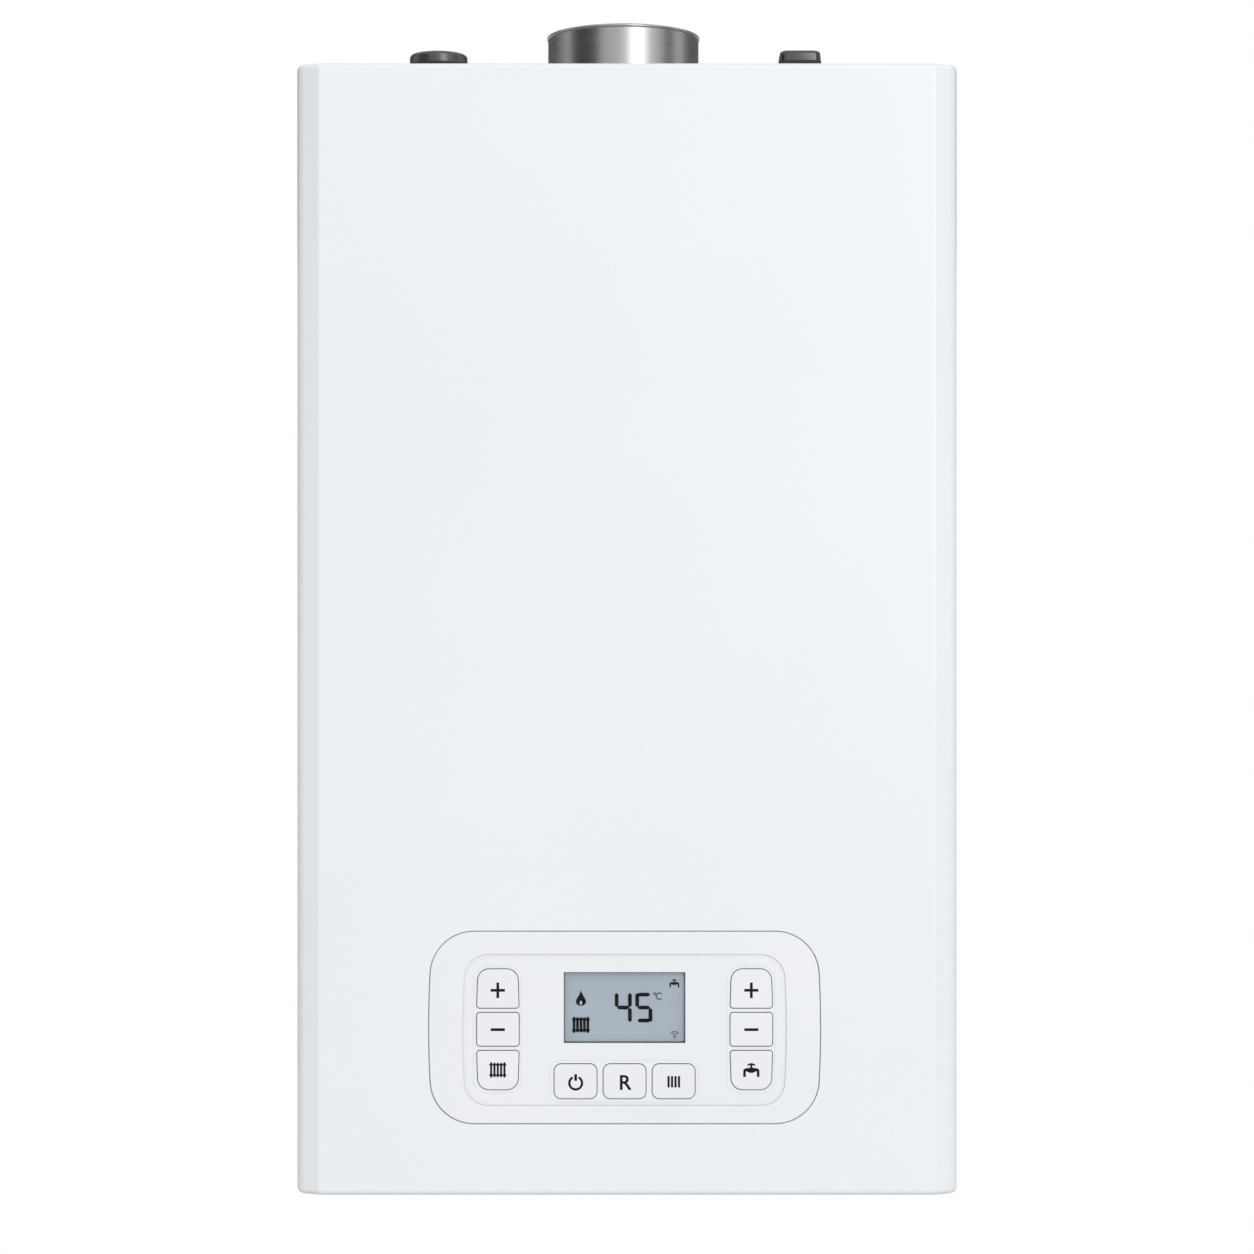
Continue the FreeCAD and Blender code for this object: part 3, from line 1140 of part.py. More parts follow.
def fan():
    """The fan: a scroll with a spigot, a bladed rotor on the motor's shaft, and the motor."""
    front, depth = "-(fan_front)", "fan_width"
    scroll = rod("scroll_drum", "fan_x", front, "fan_z", "fan_radius", depth, "y")
    low = "fan_z + fan_motor_radius + 2 * fan_wall"
    duct = rod("scroll_duct", "flue_x", "flue_y", low, "spigot_radius", f"under_top - sheet - 2 - ({low})")
    inner = rod("scroll_space", "fan_x", f"{front} + fan_wall", "fan_z", "fan_radius - fan_wall",
                f"{depth} - 2 * fan_wall", "y")
    seat = rod("scroll_seat", "flue_x", "flue_y", "under_top - socket_drop", "inner_flue_radius + fit",
               "socket_drop")
    way = rod("scroll_way", "flue_x", "flue_y", "fan_z + fan_radius / 3", "inner_flue_radius - 7",
              "under_top - fan_z")
    eye = rod("scroll_eye", "fan_x", "-(fan_rear) - 2 * fan_wall", "fan_z", "fan_inlet", "3 * fan_wall",
              "y")
    shaft_way = rod("scroll_shaft", "fan_x", f"{front} - fan_wall", "fan_z", "fan_shaft + fit",
                    "3 * fan_wall", "y")
    spaces = join("scroll_hollow", inner, seat, way, eye, shaft_way)
    piece("fan_housing", cut("fan_housing", join("scroll_solid", scroll, duct), spaces))
    start = "-(fan_front) + fan_wall + 2"
    disc = rod("rotor_disc", "fan_x", start, "fan_z", "fan_rotor_radius", "fan_blade", "y")
    hub = rod("rotor_hub", "fan_x", start, "fan_z", "fan_shaft * 2", "fan_rotor_width / 2", "y")
    shaft = rod("rotor_shaft", "fan_x", "-(fan_front + fan_motor_length / 2)", "fan_z", "fan_shaft",
                "fan_motor_length / 2 + fan_wall + 4", "y")
    blades = []
    for index in range(SIZES["fan_blades"]):
        blade = block(f"rotor_blade_{index}", "fan_rotor_radius * 0.72", "-fan_blade / 2", 0,
                      "fan_rotor_radius * 0.26", "fan_blade", "fan_rotor_width")
        blades.append(blade)
    wheel = turned("rotor_wheel", blades, "fan_x", start, "fan_z")
    piece("fan_impeller", join("fan_impeller", disc, hub, shaft, wheel))
    can = rod("fan_motor_can", "fan_x", "-(fan_front + fan_motor_length)", "fan_z", "fan_motor_radius",
              "fan_motor_length", "y")
    bore = rod("fan_motor_bore", "fan_x", "-(fan_front + fan_motor_length / 2) - fit", "fan_z",
               "fan_shaft + fit", "fan_motor_length", "y")
    piece("fan_motor", cut("fan_motor", can, bore))


def turned(name, parts, x, y, z):
    """Parts spread evenly round an axis along y: each is drawn upright about the z axis."""
    for index, part in enumerate(parts):
        turn = 360 * index / len(parts)
        holder = doc.addObject("Part::Compound", f"{part.Name}_turned")
        holder.Links = [part]
        holder.Placement = Placement(Vector(), Rotation(Vector(0, 0, 1), turn))
        parts[index] = holder
    wheel = doc.addObject("Part::Compound", name)
    wheel.Links = parts
    return place(wheel, x, y, z, "y")


# Water and gas
UNIONS = ("thread_large", "thread_small", "thread_small", "thread_small", "thread_large")


def union_x(index):
    """The x of a pipe union, from the heating flow on the left to the return on the right."""
    return f"{index - 2} * union_pitch"


def pipe_unions():
    """Five brass unions in the bottom plate: thread below, flange under the plate, nut above it."""
    unions = []
    for index, radius in enumerate(UNIONS):
        spot = (union_x(index), "union_y")
        stub = rod(f"union_stub_{index}", *spot, "-union_drop", radius, "union_top + union_drop")
        flange = prism(f"union_flange_{index}", *spot, "floor_height - union_flange",
                       f"{radius} + union_margin", "union_flange")
        nut = prism(f"union_nut_{index}", *spot, "floor_z", f"{radius} + union_margin", "union_flange")
        bore = rod(f"union_way_{index}", *spot, "-union_drop - 1", "union_bore",
                   "union_top + union_drop + 2")
        unions.append(cut(f"union_{index}", join(f"union_solid_{index}", stub, flange, nut), bore))
    piece("pipe_unions", group("pipe_unions", *unions))


def vessel_shape(name, inset):
    """The vessel's rounded form, drawn in from its outside by an inset."""
    body = Body(name)
    low, high = f"vessel_base + {inset}", f"vessel_base + vessel_height - {inset}"
    rear, front = f"rail_y - {inset}", f"rail_y - vessel_depth + {inset}"
    points = [(front, low), (rear, low), (rear, high), (front, high)]
    body.pad(polygon(body.sketch("YZ", f"vessel_left + {inset}"), points), f"vessel_width - 2 * {inset}")
    body.fillet(f"vessel_round - {inset}", lambda edge: runs(edge, "x"))
    body.fillet(f"vessel_rim - {inset}", lambda edge: not runs(edge, "x"))
    return body.body


def expansion_vessel():
    """A flat hollow vessel on its side, standing against the right rail."""
    outer, inner = vessel_shape("vessel_outside", "0"), vessel_shape("vessel_inside", "vessel_wall")
    piece("expansion_vessel", cut("expansion_vessel", outer, inner))


def pump():
    """The pump: body with three ports, rotor on the motor's shaft, and the motor with its cap."""
    start = "-(pump_front)"
    drum = rod("pump_drum", "return_x", start, "pump_z", "pump_radius", "pump_width", "y")
    ports = [rod("pump_port_low", "return_x", "union_y", "tee_top", "port_radius", "pump_z - tee_top")]
    for name, x in {"riser": "riser_x", "vessel": "vessel_port_x"}.items():
        ports.append(rod(f"pump_port_{name}", x, "union_y", "pump_z", "port_radius", "pump_port - pump_z"))
    cavity = rod("pump_hollow", "return_x", "union_y - pump_cavity_width / 2", "pump_z", "pump_cavity",
                 "pump_cavity_width", "y")
    way = rod("pump_shaft_way", "return_x", f"{start} - 1", "pump_z", "pump_shaft + fit",
              "pump_width / 2", "y")
    piece("pump_body", cut("pump_body", join("pump_solid", drum, *ports), join("pump_space", cavity, way)))
    wheel = rod("pump_wheel", "return_x", "union_y - pump_rotor_width / 2", "pump_z", "pump_rotor_radius",
                "pump_rotor_width", "y")
    shaft = rod("pump_rotor_shaft", "return_x", "-(pump_front + pump_motor_length / 2)", "pump_z",
                "pump_shaft", "pump_motor_length / 2 + pump_width / 2", "y")
    piece("pump_impeller", join("pump_impeller", wheel, shaft))
    can = rod("pump_can", "return_x", "-(pump_front + pump_motor_length)", "pump_z", "pump_motor_radius",
              "pump_motor_length", "y")
    cap = prism("pump_cap_nut", "return_x", "-(pump_front + pump_motor_length + pump_cap)", "pump_z",
                "pump_cap_radius", "pump_cap", "y")
    bore = rod("pump_motor_bore", "return_x", "-(pump_front + pump_motor_length / 2) - fit", "pump_z",
               "pump_shaft + fit", "pump_motor_length", "y")
    piece("pump_motor", cut("pump_motor", join("pump_motor_solid", can, cap), bore))


def return_manifold():
    """The brass block between the return union and the pump."""
    half = "tee_width / 2"
    solid = rounded_block("return_manifold", f"return_x - {half}", f"union_y - {half}", "tee_base",
                          "tee_width", "tee_width", "tee_top - tee_base", "side_round * 2")
    piece("return_manifold", solid.body)


def relief_valve():
    """The relief valve on the manifold's front, and its turning knob."""
    front = "-(relief_front)"
    body = rod("relief_barrel", "return_x", front, "relief_z", "relief_radius", "relief_length", "y")
    collar = prism("relief_nut", "return_x", f"{front} + relief_length / 2", "relief_z",
                   "relief_radius + 3", "relief_length / 3", "y")
    stem = rod("relief_pin", "return_x", f"{front} - relief_knob_length + 2", "relief_z", "relief_stem",
               "relief_knob_length", "y")
    piece("relief_valve", join("relief_valve", body, collar, stem))
    knob = prism("relief_grip", "return_x", f"{front} - fit - relief_knob_length", "relief_z",
                 "relief_knob_radius", "relief_knob_length", "y", sides=12)
    bore = rod("relief_knob_bore", "return_x", f"{front} - relief_knob_length + 2 - fit", "relief_z",
               "relief_stem + fit", "relief_knob_length", "y")
    piece("relief_knob", cut("relief_knob", knob, bore))


def filling_tap():
    """The filling tap between the cold pipe and the manifold, with its knob under the bottom plate."""
    half = "filling_width / 2"
    body = block("filling_block", f"filling_x - {half}", f"union_y - {half}", "filling_base",
                 "filling_width", "filling_width", "filling_height")
    cold = "union_pitch + pipe_radius + fit"
    feed = rod("filling_feed", cold, "union_y", "filling_base + filling_height / 2", "filling_stem + 1",
               f"filling_x - ({cold})", "x")
    link = rod("filling_link", "filling_x", "union_y", "filling_base + filling_height - filling_stem - 1",
               "filling_stem + 1", "return_x - tee_width / 2 - filling_x", "x")
    low = "filling_knob_z + 4"
    stem = rod("filling_pin", "filling_x", "union_y", low, "filling_stem", f"filling_base - ({low})")
    piece("filling_tap", join("filling_tap", body, feed, link, stem))
    knob = prism("filling_grip", "filling_x", "union_y", "filling_knob_z", "filling_knob_radius",
                 "filling_knob_length", sides=8)
    bore = rod("filling_knob_bore", "filling_x", "union_y", f"{low} - fit", "filling_stem + fit",
               "filling_knob_length")
    piece("filling_knob", cut("filling_knob", knob, bore))


def diverter():
    """The three-way valve: brass body, sliding spindle and the motor on top."""
    base, top = "tee_base", "diverter_top"
    barrel_rod = rod("diverter_barrel", "flow_x", "union_y", base, "diverter_radius", f"{top} - {base}")
    ports = [rod("diverter_port_high", "flow_x", "union_y", "exchanger_port_high", "port_radius",
                 "diverter_radius + port_reach", "x"),
             rod("diverter_port_in", "flow_x - diverter_radius - port_reach", "union_y", "diverter_inlet",
                 "port_radius", "diverter_radius + port_reach", "x")]
    bore = rod("diverter_hollow", "flow_x", "union_y", f"{base} + diverter_wall", "diverter_bore",
               f"{top} - {base} - 2 * diverter_wall")
    way = rod("diverter_stem_way", "flow_x", "union_y", f"{top} - 2 * diverter_wall",
              "spindle_radius + fit", "3 * diverter_wall")
    piece("diverter_valve", cut("diverter_valve", join("diverter_solid", barrel_rod, *ports),
                                join("diverter_space", bore, way)))
    stem_top = "diverter_top + diverter_wall"
    stem = rod("spindle_stem", "flow_x", "union_y", "spindle_disc_z", "spindle_radius",
               f"{stem_top} - spindle_disc_z")
    disc = rod("spindle_plate", "flow_x", "union_y", "spindle_disc_z", "spindle_disc",
               "spindle_disc_height")
    piece("diverter_spindle", join("diverter_spindle", stem, disc))
    can = rod("diverter_motor_can", "flow_x", "union_y", top, "diverter_motor_radius",
              "diverter_motor_height")
    bore_rod = rod("diverter_motor_bore", "flow_x", "union_y", f"{top} - 1", "spindle_radius + fit",
                   "diverter_wall + spindle_stroke + 3")
    piece("diverter_motor", cut("diverter_motor", can, bore_rod))


def plate_heat_exchanger():
    """A stack of brazed plates against the rear frame, with four ports."""
    half = "exchanger_width / 2"
    core = block("stack_core", f"-{half} + exchanger_groove", "exchanger_y",
                 "exchanger_base + exchanger_groove", "exchanger_width - 2 * exchanger_groove",
                 "exchanger_depth", "exchanger_height - 2 * exchanger_groove")
    parts = [core]
    step = "exchanger_depth / exchanger_plates"
    for index in range(SIZES["exchanger_plates"]):
        parts.append(block(f"stack_plate_{index}", f"-{half}", f"exchanger_y + {index} * {step}",
                           "exchanger_base", "exchanger_width", f"{step} / 2", "exchanger_height"))
    piece("plate_heat_exchanger", join("plate_heat_exchanger", *parts))


def gas_valve():
    """The gas valve: a cast body with two coils on its front."""
    half = "valve_width / 2"
    body = rounded_block("valve_cast", f"-{half}", "-valve_front", "valve_base", "valve_width",
                         "valve_depth", "valve_height", "valve_round")
    coils = []
    for row in (1, 3):
        z = f"valve_base + valve_height * {row} / 4"
        coils.append(rod(f"valve_coil_{row}", "0", "-valve_front - coil_length", z, "coil_radius",
                         "coil_length", "y"))
    piece("gas_valve", join("gas_valve", body.body, *coils))


def pipes():
    """The copper pipes between the unions, the valves, the exchangers and the sealed chamber."""
    y = "union_y"
    high = "core_base + core_height / 2"
    left, right = "-union_pitch", "union_pitch"
    port = "exchanger_y"
    flow_end, return_end = "flow_x - diverter_radius - port_reach", "return_x - tee_width / 2"
    drop_y = "-return_drop_offset"
    heating = [tube("flow_stub", "flow_x", y, "union_top", "pipe_radius", "pipe_radius - pipe_wall",
                    "tee_base - union_top"), tube("return_stub", "return_x", y, "union_top",
                                                  "pipe_radius", "pipe_radius - pipe_wall",
                                                  "tee_base - union_top"),
               pipe("flow_run", [("stack_left", y, high), ("diverter_pipe_x", y, high),
                                 ("diverter_pipe_x", y, "diverter_inlet"),
                                 (flow_end, y, "diverter_inlet")], bend="pipe_bend - 2"),
               pipe("riser_run", [("stack_right", y, high), ("riser_x", y, high),
                                  ("riser_x", y, "pump_port")]),
               tube("vessel_link", "vessel_port_x", y, "pump_port", "pipe_radius - 3", "pipe_radius - 4",
                    "vessel_base - pump_port"), pipe("primary_in",
                                                     [("flow_x + diverter_radius + port_reach", y,
                                                       "exchanger_port_high"),
                                                      (left, y, "exchanger_port_high"),
                                                      (left, port, "exchanger_port_high")]),
               pipe("primary_out", [("exchanger_width / 2", drop_y, "exchanger_port_high"),
                                    ("return_drop_x", drop_y, "exchanger_port_high"),
                                    ("return_drop_x", drop_y, "relief_z"),
                                    ("return_drop_x", y, "relief_z"), (return_end, y, "relief_z")],
                    "pipe_radius - 2", "pipe_bend - 4"),]
    water = [pipe(f"{name}_water", [(x, port, "exchanger_port_low"), (x, y, "exchanger_port_low"),
                                    (x, y, "union_top")]) for name, x in (("hot", left), ("cold", right))]
    piece("water_pipes", group("water_pipes", *heating, *water))
    top = "valve_base + valve_height"
    middle = f"({top} + chamber_base) / 2"
    gas = [tube("gas_riser", "0", y, "union_top", "pipe_radius", "pipe_radius - pipe_wall",
                "valve_base - union_top"), pipe("gas_run",
                                                [("0", y, top), ("0", y, middle),
                                                 ("0", "-manifold_offset", middle),
                                                 ("0", "-manifold_offset",
                                                  "manifold_z - manifold_radius - 6")])]
    piece("gas_pipe", group("gas_pipe", *gas))


rear_frame()
for side, sign in SIDES.items():
    side_panel(side, sign)
top_plate()
bottom_plate()
front_panel()
front_panel_screws()
casing_screws()
flue_collar()
flue_gasket()
inner_flue_pipe()
test_sockets()
air_test_plug()
flue_test_cover()
control_bezel()
for shape in key_shapes():
    key_button(shape)
display()
control_box()
control_board()
control_screws()
cable_gland()
sealed_chamber()
chamber_cover()
burner()
gas_manifold()
combustion_box()
heat_exchanger()
flue_hood()
fan()
pipe_unions()
expansion_vessel()
pump()
return_manifold()
relief_valve()
filling_tap()
diverter()
plate_heat_exchanger()
gas_valve()
pipes()
doc.recompute()

# Check every object, then write one file for each sub-part
for item in doc.Objects:
    if "Invalid" in item.State or "Error" in item.State:
        raise RuntimeError(f"{item.Label} failed: {item.State}")
for item in pieces:
    if item.Shape.isNull() or not item.Shape.isValid():
        raise RuntimeError(f"{item.Label} has no valid shape")
os.makedirs("parts", exist_ok=True)
for item in pieces:
    item.Shape.exportStep(f"parts/{item.Label}.step")
print(len(pieces), "sub-parts written")
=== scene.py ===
"""Looks of a wall-mounted gas boiler: finishes, printed symbols, display, screws, threads and studio."""

import json
import logging
import math
from dataclasses import dataclass, field
from enum import Enum
from typing import Any, Callable, Iterable, Sequence

import bmesh
import bpy
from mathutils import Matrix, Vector

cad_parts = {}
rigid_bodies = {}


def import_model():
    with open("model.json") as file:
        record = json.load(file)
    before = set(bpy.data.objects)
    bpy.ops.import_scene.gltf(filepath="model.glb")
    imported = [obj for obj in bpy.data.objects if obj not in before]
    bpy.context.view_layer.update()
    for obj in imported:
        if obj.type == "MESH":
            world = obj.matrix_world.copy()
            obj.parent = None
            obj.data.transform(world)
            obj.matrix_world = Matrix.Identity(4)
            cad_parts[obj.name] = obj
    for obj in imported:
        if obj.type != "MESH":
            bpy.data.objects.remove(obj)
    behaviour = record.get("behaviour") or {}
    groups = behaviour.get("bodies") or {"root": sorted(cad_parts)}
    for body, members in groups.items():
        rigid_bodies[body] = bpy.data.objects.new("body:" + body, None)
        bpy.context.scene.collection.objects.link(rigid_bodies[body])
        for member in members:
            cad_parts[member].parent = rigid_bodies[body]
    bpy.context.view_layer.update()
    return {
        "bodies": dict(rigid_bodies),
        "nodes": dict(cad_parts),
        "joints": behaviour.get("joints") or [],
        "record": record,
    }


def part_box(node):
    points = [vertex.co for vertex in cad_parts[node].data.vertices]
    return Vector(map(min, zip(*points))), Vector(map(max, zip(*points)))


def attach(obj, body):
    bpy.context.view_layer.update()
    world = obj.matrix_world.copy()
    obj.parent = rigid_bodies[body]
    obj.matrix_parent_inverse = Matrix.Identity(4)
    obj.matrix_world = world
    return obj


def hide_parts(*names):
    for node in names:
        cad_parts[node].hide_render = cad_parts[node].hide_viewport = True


log = logging.getLogger("boiler")
MM = 0.001
TINY = 1e-6
CHASSIS = "chassis"
MIX_FACTOR, MIX_LOW, MIX_HIGH, MIX_RESULT = 0, 6, 7, 2  # the colour sockets of a mix node
Point = tuple[float, float, float]
Colour = tuple[float, float, float, float]


def tint(red: int, green: int, blue: int) -> Colour:
    """Turn a screen colour into the linear colour that shaders take.

    Args:
        red: Red from 0 to 255.
        green: Green from 0 to 255.
        blue: Blue from 0 to 255.

    Returns:
        Linear red, green and blue, with an alpha of 1.
    """
    def linear(value: int) -> float:
        """Undo the screen curve of one channel."""
        part = value / 255
        return part / 12.92 if part <= 0.04045 else ((part + 0.055) / 1.055) ** 2.4
    return linear(red), linear(green), linear(blue), 1.0


def scaled(values: Iterable[float], unit: float = MM) -> tuple[float, ...]:
    """Multiply each value by a unit, as from millimetres to metres."""
    return tuple(value * unit for value in values)


class Axis(Enum):
    """The direction that a flat strip is drawn along."""

    ACROSS = (1.0, 0.0, 0.0)
    UP = (0.0, 0.0, 1.0)


class Facing(Enum):
    """The way a screw's head looks, as a turn about x in degrees from upwards."""

    UP = 0
    FRONT = 90


class Symbol(Enum):
    """What is printed on a key."""

    PLUS = "plus"
    MINUS = "minus"
    RADIATOR = "radiator"
    TAP = "tap"
    POWER = "power"
    RESET = "reset"
    BARS = "bars"


# Shared effects

def remap(tree: Any, value: Any, low: float = 0.0, high: float = 1.0) -> Any:
    """Add a node that takes a span of values to 0 to 1.

    Args:
        tree: The node tree.
        value: The socket that gives the value.
        low: The value that becomes 0.
        high: The value that becomes 1.

    Returns:
        The node.
    """
    node = tree.nodes.new("ShaderNodeMapRange")
    node.inputs["From Min"].default_value, node.inputs["From Max"].default_value = low, high
    tree.links.new(value, node.inputs["Value"])
    return node


def mixed(tree: Any, mask: Any, low: Any, high: Any) -> Any:
    """Mix two colours by a mask.

    Args:
        tree: The node tree.
        mask: The socket that gives the mask.
        low: The colour where the mask is 0, or the socket that gives it.
        high: The colour where the mask is 1, or the socket that gives it.

    Returns:
        The socket of the mixed colour.
    """
    mix = tree.nodes.new("ShaderNodeMix")
    mix.data_type = "RGBA"
    tree.links.new(mask, mix.inputs[MIX_FACTOR])
    for index, value in ((MIX_LOW, low), (MIX_HIGH, high)):
        if isinstance(value, tuple):
            mix.inputs[index].default_value = value
        else:
            tree.links.new(value, mix.inputs[index])
    return mix.outputs[MIX_RESULT]


class Effects:
    """Shader node groups that several finishes share, each built once."""

    def __init__(self) -> None:
        """Build every group."""
        self.drift = self._drift()
        self.grain = self._grain()
        self.streaks = self._streaks()
        self.spangle = self._spangle()
        self.ridges = self._ridges()

    @staticmethod
    def _start(name: str, inputs: dict[str, tuple[str, Any]],
               outputs: dict[str, str]) -> tuple[Any, Any, Any]:
        """Start a node group.

        Args:
            name: The group's name.
            inputs: Each input's kind and default.
            outputs: Each output's kind.

        Returns:
            The group, its input node and its output node.
        """
        tree = bpy.data.node_groups.new(name, "ShaderNodeTree")
        for label, (kind, default) in inputs.items():
            socket = tree.interface.new_socket(label, in_out="INPUT", socket_type=f"NodeSocket{kind}")
            socket.default_value = default
        for label, kind in outputs.items():
            tree.interface.new_socket(label, in_out="OUTPUT", socket_type=f"NodeSocket{kind}")
        return tree, tree.nodes.new("NodeGroupInput"), tree.nodes.new("NodeGroupOutput")

    @staticmethod
    def _noise(tree: Any, scale: Any, vector: Any, detail: float) -> Any:
        """Add a noise texture to a group.

        Args:
            tree: The group.
            scale: The socket that gives the noise's scale.
            vector: The socket that gives the place.
            detail: How many finer layers it has.

        Returns:
            The socket of its factor.
        """
        node = tree.nodes.new("ShaderNodeTexNoise")
        node.inputs["Detail"].default_value = detail
        tree.links.new(vector, node.inputs["Vector"])
        tree.links.new(scale, node.inputs["Scale"])
        return node.outputs["Fac"]

    @staticmethod
    def _rough(tree: Any, inside: Any, outside: Any, curve: Any) -> None:
        """Let a remapping node give a group's roughness, from its Low to its High.

        Args:
            tree: The group.
            inside: Its input node.
            outside: Its output node.
            curve: The remapping node.
        """
        for start, end in (("Low", "To Min"), ("High", "To Max")):
            tree.links.new(inside.outputs[start], curve.inputs[end])
        tree.links.new(curve.outputs["Result"], outside.inputs["Roughness"])

    def _drift(self) -> Any:
        """Two colours that run softly into each other, as paint and metal do over a large face.

        Returns:
            The node group.
        """
        tree, inside, outside = self._start("tone_drift", {
            "Light": ("Color", (1, 1, 1, 1)), "Shade": ("Color", (0.5, 0.5, 0.5, 1)),
            "Scale": ("Float", 6.0)}, {"Color": "Color"})
        place = tree.nodes.new("ShaderNodeTexCoord").outputs["Object"]
        fac = self._noise(tree, inside.outputs["Scale"], place, 3.0)
        mask = remap(tree, fac, 0.32, 0.68).outputs["Result"]
        colour = mixed(tree, mask, inside.outputs["Light"], inside.outputs["Shade"])
        tree.links.new(colour, outside.inputs["Color"])
        return tree

    def _grain(self) -> Any:
        """The skin of a moulded, cast or sprayed surface: a height and a roughness that follow it.

        Returns:
            The node group.
        """
        tree, inside, outside = self._start("surface_grain", {
            "Scale": ("Float", 900.0), "Low": ("Float", 0.35), "High": ("Float", 0.45)},
            {"Height": "Float", "Roughness": "Float"})
        place = tree.nodes.new("ShaderNodeTexCoord").outputs["Object"]
        fac = self._noise(tree, inside.outputs["Scale"], place, 2.0)
        tree.links.new(fac, outside.inputs["Height"])
        self._rough(tree, inside, outside, remap(tree, fac, 0.3, 0.7))
        return tree

    def _streaks(self) -> Any:
        """Fine brushed or drawn lines: noise squeezed along one direction.

        Returns:
            The node group.
        """
        tree, inside, outside = self._start("drawn_lines", {
            "Squeeze": ("Vector", (20, 20, 2500)), "Low": ("Float", 0.2), "High": ("Float", 0.4)},
            {"Line": "Float", "Roughness": "Float"})
        place = tree.nodes.new("ShaderNodeTexCoord").outputs["Object"]
        shape = tree.nodes.new("ShaderNodeMapping")
        tree.links.new(place, shape.inputs["Vector"])
        tree.links.new(inside.outputs["Squeeze"], shape.inputs["Scale"])
        noise = tree.nodes.new("ShaderNodeTexNoise")
        noise.inputs["Scale"].default_value, noise.inputs["Detail"].default_value = 1.0, 4.0
        tree.links.new(shape.outputs["Vector"], noise.inputs["Vector"])
        tree.links.new(noise.outputs["Fac"], outside.inputs["Line"])
        self._rough(tree, inside, outside, remap(tree, noise.outputs["Fac"], 0.25, 0.75))
        return tree

    def _spangle(self) -> Any:
        """The crystal flakes of a zinc coat: a tone and a roughness for each flake.

        Returns:
            The node group.
        """
        tree, inside, outside = self._start("zinc_flakes", {
            "Scale": ("Float", 90.0), "Low": ("Float", 0.3), "High": ("Float", 0.5)},
            {"Flake": "Float", "Roughness": "Float"})
        place = tree.nodes.new("ShaderNodeTexCoord").outputs["Object"]
        cells = tree.nodes.new("ShaderNodeTexVoronoi")
        tree.links.new(place, cells.inputs["Vector"])
        tree.links.new(inside.outputs["Scale"], cells.inputs["Scale"])
        tone = tree.nodes.new("ShaderNodeSeparateColor")
        tree.links.new(cells.outputs["Color"], tone.inputs["Color"])
        tree.links.new(tone.outputs["Red"], outside.inputs["Flake"])
        self._rough(tree, inside, outside, remap(tree, tone.outputs["Green"]))
        return tree

    def _ridges(self) -> Any:
        """Even ridges along z, as a lathe leaves them, with a little unevenness.

        Returns:
            The node group.
        """
        tree, inside, outside = self._start("turned_ridges", {"Scale": ("Float", 180.0)},
                                            {"Height": "Float"})
        place = tree.nodes.new("ShaderNodeTexCoord").outputs["Object"]
        wave = tree.nodes.new("ShaderNodeTexWave")
        wave.bands_direction = "Z"
        wave.inputs["Distortion"].default_value = 0.6
        tree.links.new(place, wave.inputs["Vector"])
        tree.links.new(inside.outputs["Scale"], wave.inputs["Scale"])
        tree.links.new(wave.outputs["Fac"], outside.inputs["Height"])
        return tree


# Finishes

class Paint:
    """A material under construction: a shader with its links.

    A face takes the painted gap shade up to the first value of gap_shade_span, as the part of its normal
    along y, and keeps its own tone from the second.
    """

    gap_shade_span = (0.12, 0.4)

    def __init__(self, name: str) -> None:
        """Start a material with a plain shader.

        Args:
            name: The material's name.
        """
        self.material = bpy.data.materials.new(name)
        self.material.use_nodes = True
        self.tree = self.material.node_tree
        self.shader = self.tree.nodes["Principled BSDF"]

    def plain(self, **values: Any) -> None:
        """Set sockets of the shader that are the same all over.

        Args:
            values: Each socket's value. An underscore in its name stands for a space.
        """
        for label, value in values.items():
            self.shader.inputs[label.replace("_", " ")].default_value = value

    def effect(self, group: Any, **values: Any) -> Any:
        """Place a shared effect.

        Args:
            group: The node group.
            values: Its inputs.

        Returns:
            The group's outputs.
        """
        node = self.tree.nodes.new("ShaderNodeGroup")
        node.node_tree = group
        for label, value in values.items():
            node.inputs[label].default_value = value
        return node.outputs

    def feed(self, output: Any, label: str) -> None:
        """Link an output to one of the shader's sockets."""
        self.tree.links.new(output, self.shader.inputs[label])

    def bump(self, height: Any, distance: float) -> None:
        """Raise the surface by a height.

        Args:
            height: The socket that gives the height.
            distance: How far the full height stands, in metres.
        """
        node = self.tree.nodes.new("ShaderNodeBump")
        node.inputs["Distance"].default_value, node.inputs["Strength"].default_value = distance, 1.0
        self.tree.links.new(height, node.inputs["Height"])
        self.feed(node.outputs["Normal"], "Normal")

    def blend(self, mask: Any, low: Any, high: Any) -> Any:
        """Mix two colours or colour sockets by a mask, and return the socket of the result."""
        return mixed(self.tree, mask, low, high)

    def paint_gap_shade(self, face: Any, gap_shade: Colour) -> Any:
        """Paint shade onto the faces that look sideways, standing in for the shade in the narrow gap round a
        key.

        Args:
            face: The colour socket for the faces that look forwards or back.
            gap_shade: The painted shade colour of the others.

        Returns:
            The colour socket of both.
        """
        # Painted shade: the less a face looks along y, the more it takes the dark shade colour in place of
        # its own tone.
        parts = self.tree.nodes.new("ShaderNodeSeparateXYZ")
        place = self.tree.nodes.new("ShaderNodeTexCoord")
        self.tree.links.new(place.outputs["Normal"], parts.inputs["Vector"])
        size = self.tree.nodes.new("ShaderNodeMath")
        size.operation = "ABSOLUTE"
        self.tree.links.new(parts.outputs["Y"], size.inputs[0])
        front = remap(self.tree, size.outputs["Value"], *self.gap_shade_span)
        return self.blend(front.outputs["Result"], gap_shade, face)


